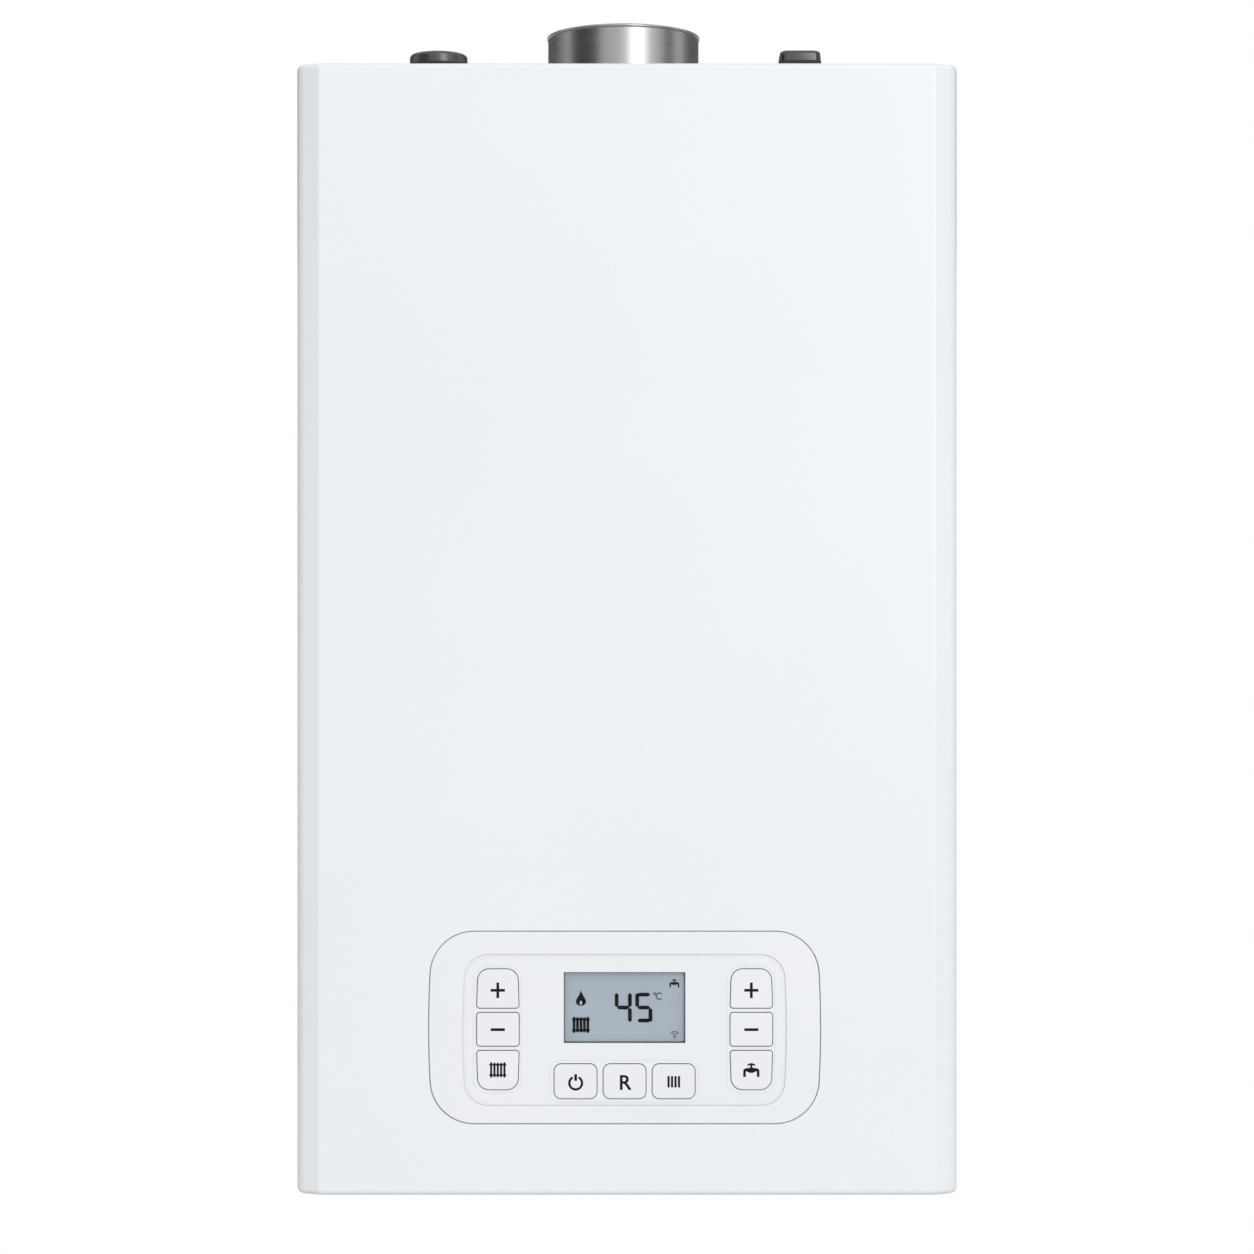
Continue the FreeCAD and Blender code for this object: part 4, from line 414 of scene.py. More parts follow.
@dataclass(frozen=True)
class Finish:
    """A painted, moulded or cast surface: two near tones, a fine skin and, if given, a painted shade on the
    faces that look sideways.
    """

    name: str
    light: Colour
    shade: Colour
    drift: float = 7.0
    grain: float = 900.0
    relief: float = 0.00002
    rough: tuple[float, float] = (0.36, 0.46)
    metal: float = 0.0
    gloss: float = 0.5
    # Painted shade for the faces that look sideways, standing in for the shade in gaps and recesses; None
    # leaves them in the plain tone.
    gap_shade: Colour | None = None

    def make(self, effects: Effects) -> bpy.types.Material:
        """Build the material.

        Args:
            effects: The shared node groups.

        Returns:
            The finished material.
        """
        paint = Paint(self.name)
        paint.plain(Metallic=self.metal, Specular_IOR_Level=self.gloss)
        tone = paint.effect(effects.drift, Light=self.light, Shade=self.shade, Scale=self.drift)
        skin = paint.effect(effects.grain, Scale=self.grain, Low=self.rough[0], High=self.rough[1])
        # Faces that look sideways take the painted shade colour, where one is given.
        colour = tone["Color"] if self.gap_shade is None else paint.paint_gap_shade(tone["Color"], self.gap_shade)
        paint.feed(colour, "Base Color")
        paint.feed(skin["Roughness"], "Roughness")
        paint.bump(skin["Height"], self.relief)
        return paint.material


@dataclass(frozen=True)
class DrawnMetal:
    """Brushed or drawn metal: fine lines in its tone, roughness and height."""

    name: str
    light: Colour
    shade: Colour
    squeeze: Point = (20.0, 20.0, 2500.0)
    rough: tuple[float, float] = (0.22, 0.36)
    sheen: float = 0.4
    relief: float = 0.000004

    def make(self, effects: Effects) -> bpy.types.Material:
        """Build the material.

        Args:
            effects: The shared node groups.

        Returns:
            The finished material.
        """
        paint = Paint(self.name)
        paint.plain(Metallic=1.0, Anisotropic=self.sheen)
        lines = paint.effect(effects.streaks, Squeeze=self.squeeze, Low=self.rough[0], High=self.rough[1])
        paint.feed(paint.blend(lines["Line"], self.shade, self.light), "Base Color")
        paint.feed(lines["Roughness"], "Roughness")
        paint.bump(lines["Line"], self.relief)
        return paint.material


@dataclass(frozen=True)
class ZincSheet:
    """Galvanised sheet with its flakes."""

    name: str
    light: Colour = tint(206, 209, 212)
    shade: Colour = tint(188, 192, 196)
    scale: float = 130.0
    rough: tuple[float, float] = (0.34, 0.52)
    metal: float = 0.85
    grain: float = 1500.0
    relief: float = 0.00001

    def make(self, effects: Effects) -> bpy.types.Material:
        """Build the material.

        Args:
            effects: The shared node groups.

        Returns:
            The finished material.
        """
        paint = Paint(self.name)
        paint.plain(Metallic=self.metal)
        flakes = paint.effect(effects.spangle, Scale=self.scale, Low=self.rough[0], High=self.rough[1])
        paint.feed(paint.blend(flakes["Flake"], self.shade, self.light), "Base Color")
        paint.feed(flakes["Roughness"], "Roughness")
        skin = paint.effect(effects.grain, Scale=self.grain)
        paint.bump(skin["Height"], self.relief)
        return paint.material


@dataclass(frozen=True)
class TurnedMetal:
    """Brass, copper or steel with a tarnish drift and lathe ridges."""

    name: str
    light: Colour
    shade: Colour
    ridge: float = 420.0
    relief: float = 0.00003
    rough: tuple[float, float] = (0.2, 0.36)
    drift: float = 28.0
    grain: float = 160.0

    def make(self, effects: Effects) -> bpy.types.Material:
        """Build the material.

        Args:
            effects: The shared node groups.

        Returns:
            The finished material.
        """
        paint = Paint(self.name)
        paint.plain(Metallic=1.0)
        tone = paint.effect(effects.drift, Light=self.light, Shade=self.shade, Scale=self.drift)
        skin = paint.effect(effects.grain, Scale=self.grain, Low=self.rough[0], High=self.rough[1])
        ridges = paint.effect(effects.ridges, Scale=self.ridge)
        paint.feed(tone["Color"], "Base Color")
        paint.feed(skin["Roughness"], "Roughness")
        paint.bump(ridges["Height"], self.relief)
        return paint.material


@dataclass(frozen=True)
class FibreFelt:
    """Pressed ceramic fibre or a printed board: streaked tone over a coarse skin."""

    name: str
    light: Colour
    shade: Colour
    squeeze: Point = (240.0, 240.0, 1400.0)
    rough: tuple[float, float] = (0.8, 0.95)
    relief: float = 0.0001

    def make(self, effects: Effects) -> bpy.types.Material:
        """Build the material.

        Args:
            effects: The shared node groups.

        Returns:
            The finished material.
        """
        paint = Paint(self.name)
        lines = paint.effect(effects.streaks, Squeeze=self.squeeze, Low=self.rough[0], High=self.rough[1])
        paint.feed(paint.blend(lines["Line"], self.shade, self.light), "Base Color")
        paint.feed(lines["Roughness"], "Roughness")
        paint.bump(lines["Line"], self.relief)
        return paint.material


@dataclass(frozen=True)
class ClearGlass:
    """A clear window that light passes through."""

    name: str
    colour: Colour
    index: float = 1.14
    grain: float = 60.0
    rough: tuple[float, float] = (0.015, 0.035)

    def make(self, effects: Effects) -> bpy.types.Material:
        """Build the material.

        Args:
            effects: The shared node groups.

        Returns:
            The finished material.
        """
        paint = Paint(self.name)
        paint.plain(Base_Color=self.colour, Transmission_Weight=1.0, IOR=self.index)
        skin = paint.effect(effects.grain, Scale=self.grain, Low=self.rough[0], High=self.rough[1])
        paint.feed(skin["Roughness"], "Roughness")
        through = paint.tree.nodes.new("ShaderNodeBsdfTransparent")
        choose = paint.tree.nodes.new("ShaderNodeMixShader")
        path = paint.tree.nodes.new("ShaderNodeLightPath")
        either = paint.tree.nodes.new("ShaderNodeMath")
        either.operation = "MAXIMUM"
        paint.tree.links.new(path.outputs["Is Shadow Ray"], either.inputs[0])
        paint.tree.links.new(path.outputs["Is Diffuse Ray"], either.inputs[1])
        paint.tree.links.new(either.outputs["Value"], choose.inputs["Fac"])
        paint.tree.links.new(paint.shader.outputs["BSDF"], choose.inputs[1])
        paint.tree.links.new(through.outputs["BSDF"], choose.inputs[2])
        output = paint.tree.nodes["Material Output"]
        paint.tree.links.new(choose.outputs["Shader"], output.inputs["Surface"])
        return paint.material


WHITE_PAINT = Finish("white_powder_coat", tint(241, 244, 247), tint(238, 241, 245), drift=4.0,
                     grain=620.0, relief=0.000006, rough=(0.22, 0.28))
INK = Finish("printed_ink", tint(22, 24, 27), tint(14, 15, 17), drift=160.0, grain=4000.0,
             relief=0.000004, rough=(0.5, 0.6), gloss=0.1)
LCD_DARK = Finish("lit_segment", tint(18, 20, 22), tint(10, 11, 13), drift=120.0, grain=5000.0,
                  relief=0.000002, rough=(0.4, 0.5), gloss=0.05)
# Faint segments, and also the dark ring of painted shade round the screen's edge.
FAINT_SEGMENT_AND_EDGE_SHADE = Finish("faint_segment_and_edge_shade", tint(92, 100, 108), tint(84, 92, 100), drift=120.0, grain=5000.0,
                   relief=0.000002, rough=(0.4, 0.5), gloss=0.1)
# The bezel's sideways faces take a painted shade, standing in for the shade in the gaps round its keys, at
# its recess edges and on the beads.
BEZEL = Finish("bezel_moulding", tint(240, 242, 245), tint(237, 240, 243), drift=9.0, grain=2600.0,
               relief=0.000008, rough=(0.38, 0.48), gap_shade=tint(118, 120, 122))
SEAL_RUBBER = Finish("seal_rubber", tint(60, 62, 64), tint(50, 52, 54), drift=60.0, grain=2600.0,
                     relief=0.00001, rough=(0.7, 0.85), gloss=0.2)
STEEL_SCREW = TurnedMetal("screw_steel", tint(176, 178, 180), tint(140, 143, 146), ridge=900.0,
                          relief=0.00001, rough=(0.26, 0.4))
BRASS = TurnedMetal("brass", tint(214, 180, 104), tint(178, 140, 72))
SCREEN = Finish("lcd_screen", tint(173, 183, 192), tint(167, 177, 186), drift=22.0, grain=3000.0,
                relief=0.000003, rough=(0.42, 0.5), gloss=0.2)

SLOT_FINISHES: dict[str, Any] = {
    "white_panel": WHITE_PAINT,
    "galvanised": ZincSheet("galvanised_sheet"),
    "stainless": DrawnMetal("brushed_stainless", tint(166, 166, 166), tint(152, 153, 154),
                            rough=(0.24, 0.32)),
    "screw_steel": STEEL_SCREW,
    "bezel_white": BEZEL,
    # The keys' sideways faces take a painted shade, standing in for the shade in the gaps round them.
    "key_white": Finish("key_moulding", tint(239, 241, 244), tint(236, 238, 241), drift=14.0, grain=3200.0,
                        relief=0.000006, rough=(0.34, 0.44), gap_shade=tint(120, 122, 124)),
    "window": ClearGlass("display_window_clear", (0.97, 0.985, 1.0, 1.0)),
    "display": SCREEN,
    "board_green": FibreFelt("circuit_board", tint(46, 122, 74), tint(26, 84, 48), (160.0, 160.0, 60.0),
                             (0.35, 0.5)),
    "grey_plastic": Finish("grey_moulding", tint(150, 154, 158), tint(138, 142, 146), grain=1800.0,
                           rough=(0.45, 0.58)),
    "black_rubber": Finish("black_rubber", tint(62, 64, 66), tint(52, 54, 56), drift=40.0, grain=2400.0,
                           relief=0.00001, rough=(0.24, 0.34), gloss=0.8),
    "black_plastic": Finish("black_moulding", tint(34, 36, 39), tint(24, 26, 29), drift=40.0, grain=2600.0,
                            relief=0.000006, rough=(0.2, 0.3), gloss=0.95),
    "sight": ClearGlass("sight_glass_clear", (0.95, 0.97, 0.96, 1.0), 1.45),
    "fan_steel": ZincSheet("fan_sheet", tint(196, 199, 202), tint(176, 180, 184), 140.0),
    "fibre": FibreFelt("ceramic_fibre", tint(232, 228, 218), tint(204, 198, 186)),
    "electrode": Finish("glazed_ceramic", tint(242, 238, 228), tint(230, 225, 213), grain=1200.0,
                        rough=(0.12, 0.22)),
    "copper": TurnedMetal("copper", tint(222, 148, 112), tint(176, 102, 74), ridge=90.0, relief=0.00001),
    "brass": BRASS,
    "vessel_red": Finish("red_enamel", tint(190, 42, 36), tint(172, 34, 30), drift=6.0, grain=420.0,
                         relief=0.00003, rough=(0.24, 0.34)),
    "pump_iron": Finish("cast_iron", tint(86, 88, 90), tint(62, 64, 66), drift=40.0, grain=700.0,
                        relief=0.00018, rough=(0.5, 0.66), metal=0.7),
    "pump_motor_grey": Finish("motor_paint", tint(98, 104, 110), tint(86, 92, 98), drift=18.0, grain=520.0,
                              relief=0.00004, rough=(0.4, 0.52)),
    "impeller": Finish("impeller_moulding", tint(196, 192, 182), tint(182, 177, 166), grain=1500.0),
    "gas_aluminium": Finish("cast_aluminium", tint(192, 194, 196), tint(160, 163, 166), drift=36.0,
                            grain=900.0, relief=0.00009, rough=(0.38, 0.54), metal=0.95),
    "knob_red": Finish("red_moulding", tint(196, 38, 34), tint(178, 30, 28), drift=30.0, grain=2200.0,
                       relief=0.00001, rough=(0.34, 0.46)),
}


class Wardrobe:
    """Every material, made when first asked for."""

    def __init__(self) -> None:
        """Build the shared effects."""
        self.effects = Effects()
        self.made: dict[str, bpy.types.Material] = {}

    def get(self, finish: Any) -> bpy.types.Material:
        """Return a finish's material, and make it the first time.

        Args:
            finish: The finish.

        Returns:
            Its material.
        """
        if finish.name not in self.made:
            self.made[finish.name] = finish.make(self.effects)
        return self.made[finish.name]

    def dress(self, obj: bpy.types.Object, finish: Any) -> None:
        """Give an object one finish all over.

        Args:
            obj: The object.
            finish: The finish.
        """
        material = self.get(finish)
        if not obj.material_slots:
            obj.data.materials.append(material)
        for holder in obj.material_slots:
            holder.material = material


# Modelling

class Bench:
    """Edit-mode work on one new mesh at a time."""

    @staticmethod
    def deselect() -> None:
        """Leave nothing selected."""
        bpy.ops.object.select_all(action="DESELECT")

    @staticmethod
    def settle() -> bpy.types.Object:
        """Put the active object's place, turn and scale into its mesh, and return it."""
        bpy.ops.object.transform_apply(location=True, rotation=True, scale=True)
        return bpy.context.object

    @staticmethod
    def focus(obj: bpy.types.Object) -> None:
        """Select one object alone and make it active.

        Args:
            obj: The object.
        """
        Bench.deselect()
        obj.select_set(True)
        bpy.context.view_layer.objects.active = obj

    @staticmethod
    def pick(wanted: Callable[[Vector], bool]) -> None:
        """Select the vertices that a test picks, in edit mode.

        Args:
            wanted: The test of a vertex's place.
        """
        bpy.ops.mesh.select_mode(type="VERT")
        bpy.ops.mesh.select_all(action="DESELECT")
        mesh = bmesh.from_edit_mesh(bpy.context.object.data)
        for vert in mesh.verts:
            vert.select_set(wanted(vert.co))
        mesh.select_flush(True)
        bmesh.update_edit_mesh(bpy.context.object.data)

    @staticmethod
    def weld() -> None:
        """Select everything and merge the points that meet, in edit mode."""
        bpy.ops.mesh.select_all(action="SELECT")
        bpy.ops.mesh.remove_doubles(threshold=TINY)

    @staticmethod
    def plate(name: str, centre: Point, width: float, height: float) -> bpy.types.Object:
        """Start a flat plate that looks to the front.

        Args:
            name: The object's name.
            centre: Its middle.
            width: Its size along x.
            height: Its size along z.

        Returns:
            The object, in object mode.
        """
        Bench.deselect()
        bpy.ops.mesh.primitive_plane_add(size=1, location=centre, rotation=(math.pi / 2, 0, 0))
        obj = bpy.context.object
        obj.name = name
        obj.scale = (width, height, 1)
        return Bench.settle()

    @staticmethod
    def strip(name: str, axis: Axis, origin: Point, levels: Sequence[Point]) -> bpy.types.Object:
        """Draw a flat outline by extruding its end edge from level to level.

        Args:
            name: The object's name.
            axis: The direction of drawing.
            origin: Where the levels are measured from.
            levels: Distance along the axis, half width and shift across of each level.

        Returns:
            The object, in object mode.
        """
        along = Vector(axis.value)
        across = Vector((0, 0, 1)) if axis is Axis.ACROSS else Vector((1, 0, 0))
        base = Vector(origin)

        def middle(level: Point) -> Vector:
            """The point on the centre line of a level."""
            return base + along * level[0] + across * level[2]

        first, second = levels[0], levels[1]
        reach, span = second[0] - first[0], 2 * max(first[1], TINY)
        size = (reach, span) if axis is Axis.ACROSS else (span, reach)
        obj = Bench.plate(name, tuple(middle(first) + along * reach / 2), *size)
        bpy.ops.object.mode_set(mode="EDIT")
        edge_at = (base + along * second[0]).dot(along)
        Bench.pick(lambda spot: abs(spot.dot(along) - edge_at) < TINY)
        Bench.widen(across, second[1] / max(first[1], TINY), middle(first) + along * reach)
        bpy.ops.transform.translate(value=across * (second[2] - first[2]))
        for before, here in zip(levels[1:], levels[2:]):
            step = middle(here) - middle(before)
            bpy.ops.mesh.extrude_edges_move(TRANSFORM_OT_translate={"value": tuple(step)})
            Bench.widen(across, max(here[1], TINY) / max(before[1], TINY), middle(here))
        Bench.weld()
        bpy.ops.object.mode_set(mode="OBJECT")
        return obj

    @staticmethod
    def widen(across: Vector, factor: float, centre: Vector) -> None:
        """Scale what is selected across the drawing direction about a point.

        Args:
            across: The direction across.
            factor: The scale.
            centre: The point that stays.
        """
        value = tuple(1 + (factor - 1) * abs(part) for part in across)
        bpy.ops.transform.resize(value=value, center_override=tuple(centre))

    @staticmethod
    def arc(name: str, centre: Point, inner: float, outer: float, start: float,
            sweep: float) -> bpy.types.Object:
        """Spin a short edge into a flat ring or a part of one.

        Args:
            name: The object's name.
            centre: The ring's middle.
            inner: Its inner radius.
            outer: Its outer radius.
            start: The angle of its first end from the right, anticlockwise, in degrees.
            sweep: The angle it turns through, in degrees.

        Returns:
            The object, in object mode.
        """
        middle = Vector(centre)
        obj = Bench.plate(name, tuple(middle + Vector(((inner + outer) / 2, 0, 0))), outer - inner, MM)
        bpy.ops.object.mode_set(mode="EDIT")
        Bench.pick(lambda spot: spot.z > middle.z)
        bpy.ops.mesh.delete(type="VERT")
        Bench.pick(lambda spot: True)
        bpy.ops.transform.translate(value=(0, 0, MM / 2))
        bpy.ops.mesh.select_all(action="SELECT")
        steps = max(6, int(abs(sweep) / 6))
        bpy.ops.mesh.spin(steps=steps, angle=math.radians(sweep), center=centre, axis=(0, 1, 0))
        Bench.weld()
        bpy.ops.object.mode_set(mode="OBJECT")
        Bench.turn(centre, start)
        return obj

    @staticmethod
    def lathe(name: str, centre: Point, profile: Sequence[tuple[float, float]]) -> bpy.types.Object:
        """Spin a closed profile round an upright axis.

        Args:
            name: The object's name.
            centre: A point on the axis, at the profile's height of 0.
            profile: Radius and height of each point.

        Returns:
            The object, in object mode.
        """
        ends = [Vector(centre) + Vector((profile[index][0], 0, profile[index][1])) for index in (0, -1)]
        obj = Bench.plate(name, tuple(ends[0]), MM, MM)
        bpy.ops.object.mode_set(mode="EDIT")
        bpy.ops.mesh.select_all(action="SELECT")
        bpy.ops.mesh.merge(type="CENTER")
        for before, here in zip(profile, profile[1:]):
            step = (here[0] - before[0], 0, here[1] - before[1])
            bpy.ops.mesh.extrude_vertices_move(TRANSFORM_OT_translate={"value": step})
        Bench.pick(lambda spot: min((spot - end).length for end in ends) < TINY)
        bpy.ops.mesh.edge_face_add()
        bpy.ops.mesh.select_all(action="SELECT")
        bpy.ops.mesh.spin(steps=96, angle=math.tau, center=centre, axis=(0, 0, 1))
        Bench.weld()
        bpy.ops.mesh.normals_make_consistent(inside=False)
        bpy.ops.object.mode_set(mode="OBJECT")
        return obj

    @staticmethod
    def turn(centre: Point, degrees: float) -> None:
        """Turn the active flat piece about a point, anticlockwise seen from the front.

        Args:
            centre: The point.
            degrees: The angle.
        """
        bpy.ops.object.mode_set(mode="EDIT")
        bpy.ops.mesh.select_all(action="SELECT")
        bpy.ops.transform.rotate(value=math.radians(degrees), orient_axis="Y", center_override=centre)
        bpy.ops.object.mode_set(mode="OBJECT")

    @staticmethod
    def join(name: str, parts: Iterable[bpy.types.Object]) -> bpy.types.Object:
        """Make several objects one.

        Args:
            name: The joined object's name.
            parts: The objects.

        Returns:
            The joined object.
        """
        parts = list(parts)
        Bench.deselect()
        for part in parts:
            part.select_set(True)
        bpy.context.view_layer.objects.active = parts[0]
        if len(parts) > 1:
            bpy.ops.object.join()
        obj = bpy.context.object
        obj.name = name
        return obj

    @staticmethod
    def thicken(obj: bpy.types.Object, depth: float) -> bpy.types.Object:
        """Give a flat piece a depth towards the front, with all its faces outwards.

        Args:
            obj: The piece.
            depth: Its depth.

        Returns:
            The piece.
        """
        Bench.focus(obj)
        bpy.ops.object.mode_set(mode="EDIT")
        bpy.ops.mesh.select_all(action="SELECT")
        bpy.ops.mesh.normals_make_consistent(inside=False)
        bpy.ops.object.mode_set(mode="OBJECT")
        faces = obj.data.polygons
        if sum(face.normal.y * face.area for face in faces) > 0:
            obj.data.flip_normals()
        Bench.modify(obj, "SOLIDIFY", thickness=depth, offset=1.0)
        return obj

    @staticmethod
    def modify(obj: bpy.types.Object, kind: str, **values: Any) -> None:
        """Add a modifier with its values and apply it.

        Args:
            obj: The object.
            kind: The modifier's type.
            values: Its settings.
        """
        bpy.context.view_layer.objects.active = obj
        modifier = obj.modifiers.new(kind.lower(), kind)
        for label, value in values.items():
            setattr(modifier, label, value)
        bpy.ops.object.modifier_apply(modifier=modifier.name)

    @staticmethod
    def copy(obj: bpy.types.Object, spot: Point, facing: Facing = Facing.UP) -> bpy.types.Object:
        """Copy a piece with its own mesh to a place, turned to face a way.

        Args:
            obj: The piece.
            spot: The place.
            facing: The way that the copy looks.

        Returns:
            The copy.
        """
        Bench.focus(obj)
        bpy.ops.object.duplicate(linked=False)
        bpy.context.object.location = spot
        bpy.context.object.rotation_euler = (math.radians(facing.value), 0, 0)
        return Bench.settle()

    @staticmethod
    def smooth(obj: bpy.types.Object, degrees: float = 35) -> None:
        """Shade a piece smooth, with creases kept sharp.

        Args:
            obj: The piece.
            degrees: The angle from which an edge is a crease.
        """
        Bench.focus(obj)
        bpy.ops.object.shade_smooth_by_angle(angle=math.radians(degrees))


def finish_piece(obj: bpy.types.Object, body: str) -> bpy.types.Object:
    """Hand a piece to its body and report it.

    Args:
        obj: The finished piece.
        body: The CAD body that it rides on.

    Returns:
        The piece.
    """
    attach(obj, body)
    log.info("piece %s on %s, %d faces", obj.name, body, len(obj.data.polygons))
    return obj


# Printed symbols

@dataclass
class SymbolSet:
    """Flat symbols drawn at a level, each about its own middle.

    Strokes that cross others stand a small lift off the level, so that no two faces share a plane.
    """

    level: float
    stroke: float = 1.7 * MM
    weight: float = 1.0
    lift: float = 0.004 * MM

    def draw(self, symbol: Symbol, name: str, x: float, z: float, scale: float = 1.0) -> bpy.types.Object:
        """Draw one symbol.

        Args:
            symbol: Which one.
            name: The object's name.
            x: Its middle along x.
            z: Its middle along z.
            scale: Its size against the printed one.

        Returns:
            The flat object.
        """
        makers = {Symbol.PLUS: self.plus, Symbol.MINUS: self.minus, Symbol.RADIATOR: self.radiator,
                  Symbol.TAP: self.tap, Symbol.POWER: self.power, Symbol.RESET: self.reset,
                  Symbol.BARS: self.bars}
        return makers[symbol](name, x, z, scale * MM)

    def minus(self, name: str, x: float, z: float, unit: float) -> bpy.types.Object:
        """A bar with eased ends.

        Args:
            name: The object's name.
            x: Its middle along x.
            z: Its middle along z.
            unit: A printed millimetre, in metres.

        Returns:
            The flat object.
        """
        half, ease = self.stroke / 2, 0.15 * unit
        levels = [(-4.4 * unit, half - ease, 0), (-4.4 * unit + ease, half, 0), (4.4 * unit - ease, half, 0),
                  (4.4 * unit, half - ease, 0)]
        return Bench.strip(name, Axis.ACROSS, (x, self.level, z), levels)

    def plus(self, name: str, x: float, z: float, unit: float) -> bpy.types.Object:
        """A bar with an arm extruded up and one down.

        Args:
            name: The object's name.
            x: Its middle along x.
            z: Its middle along z.
            unit: A printed millimetre, in metres.

        Returns:
            The flat object.
        """
        half, reach = self.stroke / 2, 4.8 * unit
        levels = [(-4.4 * unit, half, 0), (-half, half, 0), (half, half, 0), (4.4 * unit, half, 0)]
        obj = Bench.strip(name, Axis.ACROSS, (x, self.level, z), levels)
        bpy.ops.object.mode_set(mode="EDIT")
        for sign in (1, -1):
            Bench.pick(lambda spot: abs(spot.x - x) < half + TINY and (spot.z - z) * sign > 0)
            bpy.ops.mesh.extrude_edges_move(TRANSFORM_OT_translate={"value": (0, 0, sign * (reach - half))})
        bpy.ops.object.mode_set(mode="OBJECT")
        return obj

    def radiator(self, name: str, x: float, z: float, unit: float) -> bpy.types.Object:
        """Five rounded columns on two rails.

        Args:
            name: The object's name.
            x: Its middle along x.
            z: Its middle along z.
            unit: A printed millimetre, in metres.

        Returns:
            The flat object.
        """
        parts = []
        for index in range(5):
            spot = x + (index - 2) * 2.05 * unit
            tall = (4.8 if index in (0, 4) else 4.5) * unit
            bar, knob = 0.64 * self.weight * unit, 0.62 * self.weight * unit
            levels = [(-tall, 0.35 * unit, 0), (-tall + 0.35 * unit, knob, 0), (-tall + 1.1 * unit, bar, 0),
                      (tall - 1.1 * unit, bar, 0), (tall - 0.35 * unit, knob, 0), (tall, 0.35 * unit, 0)]
            parts.append(Bench.strip(f"{name}_column", Axis.UP, (spot, self.level, z), levels))
        for sign in (1, -1):
            half = 0.5 * self.weight
            rail = [scaled(level, unit)
                    for level in ((-5.3, 0.3, 0), (-5.1, half, 0), (5.1, half, 0), (5.3, 0.3, 0))]
            spot = (x, self.level + self.lift, z + sign * 3.2 * unit)
            parts.append(Bench.strip(f"{name}_rail", Axis.ACROSS, spot, rail))
        return Bench.join(name, parts)

    def tap(self, name: str, x: float, z: float, unit: float) -> bpy.types.Object:
        """A tap from the front: a crossbar with two down-turned ends, a stem and a handle.

        Args:
            name: The object's name.
            x: Its middle along x.
            z: Its middle along z.
            unit: A printed millimetre, in metres.

        Returns:
            The flat object.
        """
        body = ((-1.8, 0.8, 0), (-1.5, 1.6, 0), (-1.0, 2.6, 0), (-0.55, 4.9, 0), (0.2, 4.75, 0),
                (0.8, 4.2, 0), (1.1, 3.2, 0), (1.3, 0.9, 0), (2.0, 0.6, 0), (3.0, 0.65, 0))
        legs = [((-4.3, 0.72, sign * 4.2), (-4.15, 0.8, sign * 4.2), (-0.5, 0.8, sign * 4.2),
                 (0.1, 0.7, sign * 4.1)) for sign in (1, -1)]
        handle = ((-2.5, 0.3, -0.6), (-1.9, 0.55, -0.25), (-0.9, 0.6, 0.1), (0, 0.6, 0.18), (0.9, 0.6, 0.1),
                  (1.9, 0.55, -0.25), (2.5, 0.3, -0.6))
        low, high = self.level, self.level + self.lift
        parts = []
        for word, axis, spot, levels in (("body", Axis.UP, (x, low, z), body),
                                         *(("leg", Axis.UP, (x, high, z), leg) for leg in legs),
                                         ("handle", Axis.ACROSS, (x, high, z + 3.4 * unit), handle)):
            levels = [scaled(level, unit) for level in levels]
            parts.append(Bench.strip(f"{name}_{word}", axis, spot, levels))
        return Bench.join(name, parts)

    def power(self, name: str, x: float, z: float, unit: float) -> bpy.types.Object:
        """A ring open at the top with a bar in its gap.

        Args:
            name: The object's name.
            x: Its middle along x.
            z: Its middle along z.
            unit: A printed millimetre, in metres.

        Returns:
            The flat object.
        """
        centre = (x, self.level, z - 0.6 * unit)
        ring = Bench.arc(f"{name}_ring", centre, 3.2 * unit, 4.65 * unit, 118, 304)
        half = self.stroke / 2
        levels = [(1.4 * unit, half * 0.8, 0), (1.6 * unit, half, 0), (5.3 * unit, half, 0),
                  (5.5 * unit, half * 0.8, 0)]
        bar = Bench.strip(f"{name}_bar", Axis.UP, centre, levels)
        return Bench.join(name, [ring, bar])

    def reset(self, name: str, x: float, z: float, unit: float) -> bpy.types.Object:
        """The letter R, for reset.

        Args:
            name: The object's name.
            x: Its middle along x.
            z: Its middle along z.
            unit: A printed millimetre, in metres.

        Returns:
            The flat object.
        """
        Bench.deselect()
        bpy.ops.object.text_add(location=(x, self.level, z - 4.4 * unit), rotation=(math.pi / 2, 0, 0))
        letter = bpy.context.object
        letter.data.body, letter.data.align_x = "R", "CENTER"
        letter.data.size, letter.data.fill_mode = 12.8 * unit, "FRONT"
        letter.data.offset = 0.19 * unit
        bpy.ops.object.convert(target="MESH")
        bpy.context.object.name = name
        return Bench.settle()

    def bars(self, name: str, x: float, z: float, unit: float) -> bpy.types.Object:
        """Four upright bars.

        Args:
            name: The object's name.
            x: Its middle along x.
            z: Its middle along z.
            unit: A printed millimetre, in metres.

        Returns:
            The flat object.
        """
        half = 0.68 * unit
        levels = [(-3.5 * unit, half * 0.8, 0), (-3.4 * unit, half, 0), (3.4 * unit, half, 0),
                  (3.5 * unit, half * 0.8, 0)]
        obj = Bench.strip(name, Axis.UP, (x - 3.21 * unit, self.level, z), levels)
        Bench.modify(obj, "ARRAY", count=4, use_relative_offset=False, use_constant_offset=True,
                     constant_offset_displace=(2.14 * unit, 0, 0))
        return obj


# Sub-assemblies

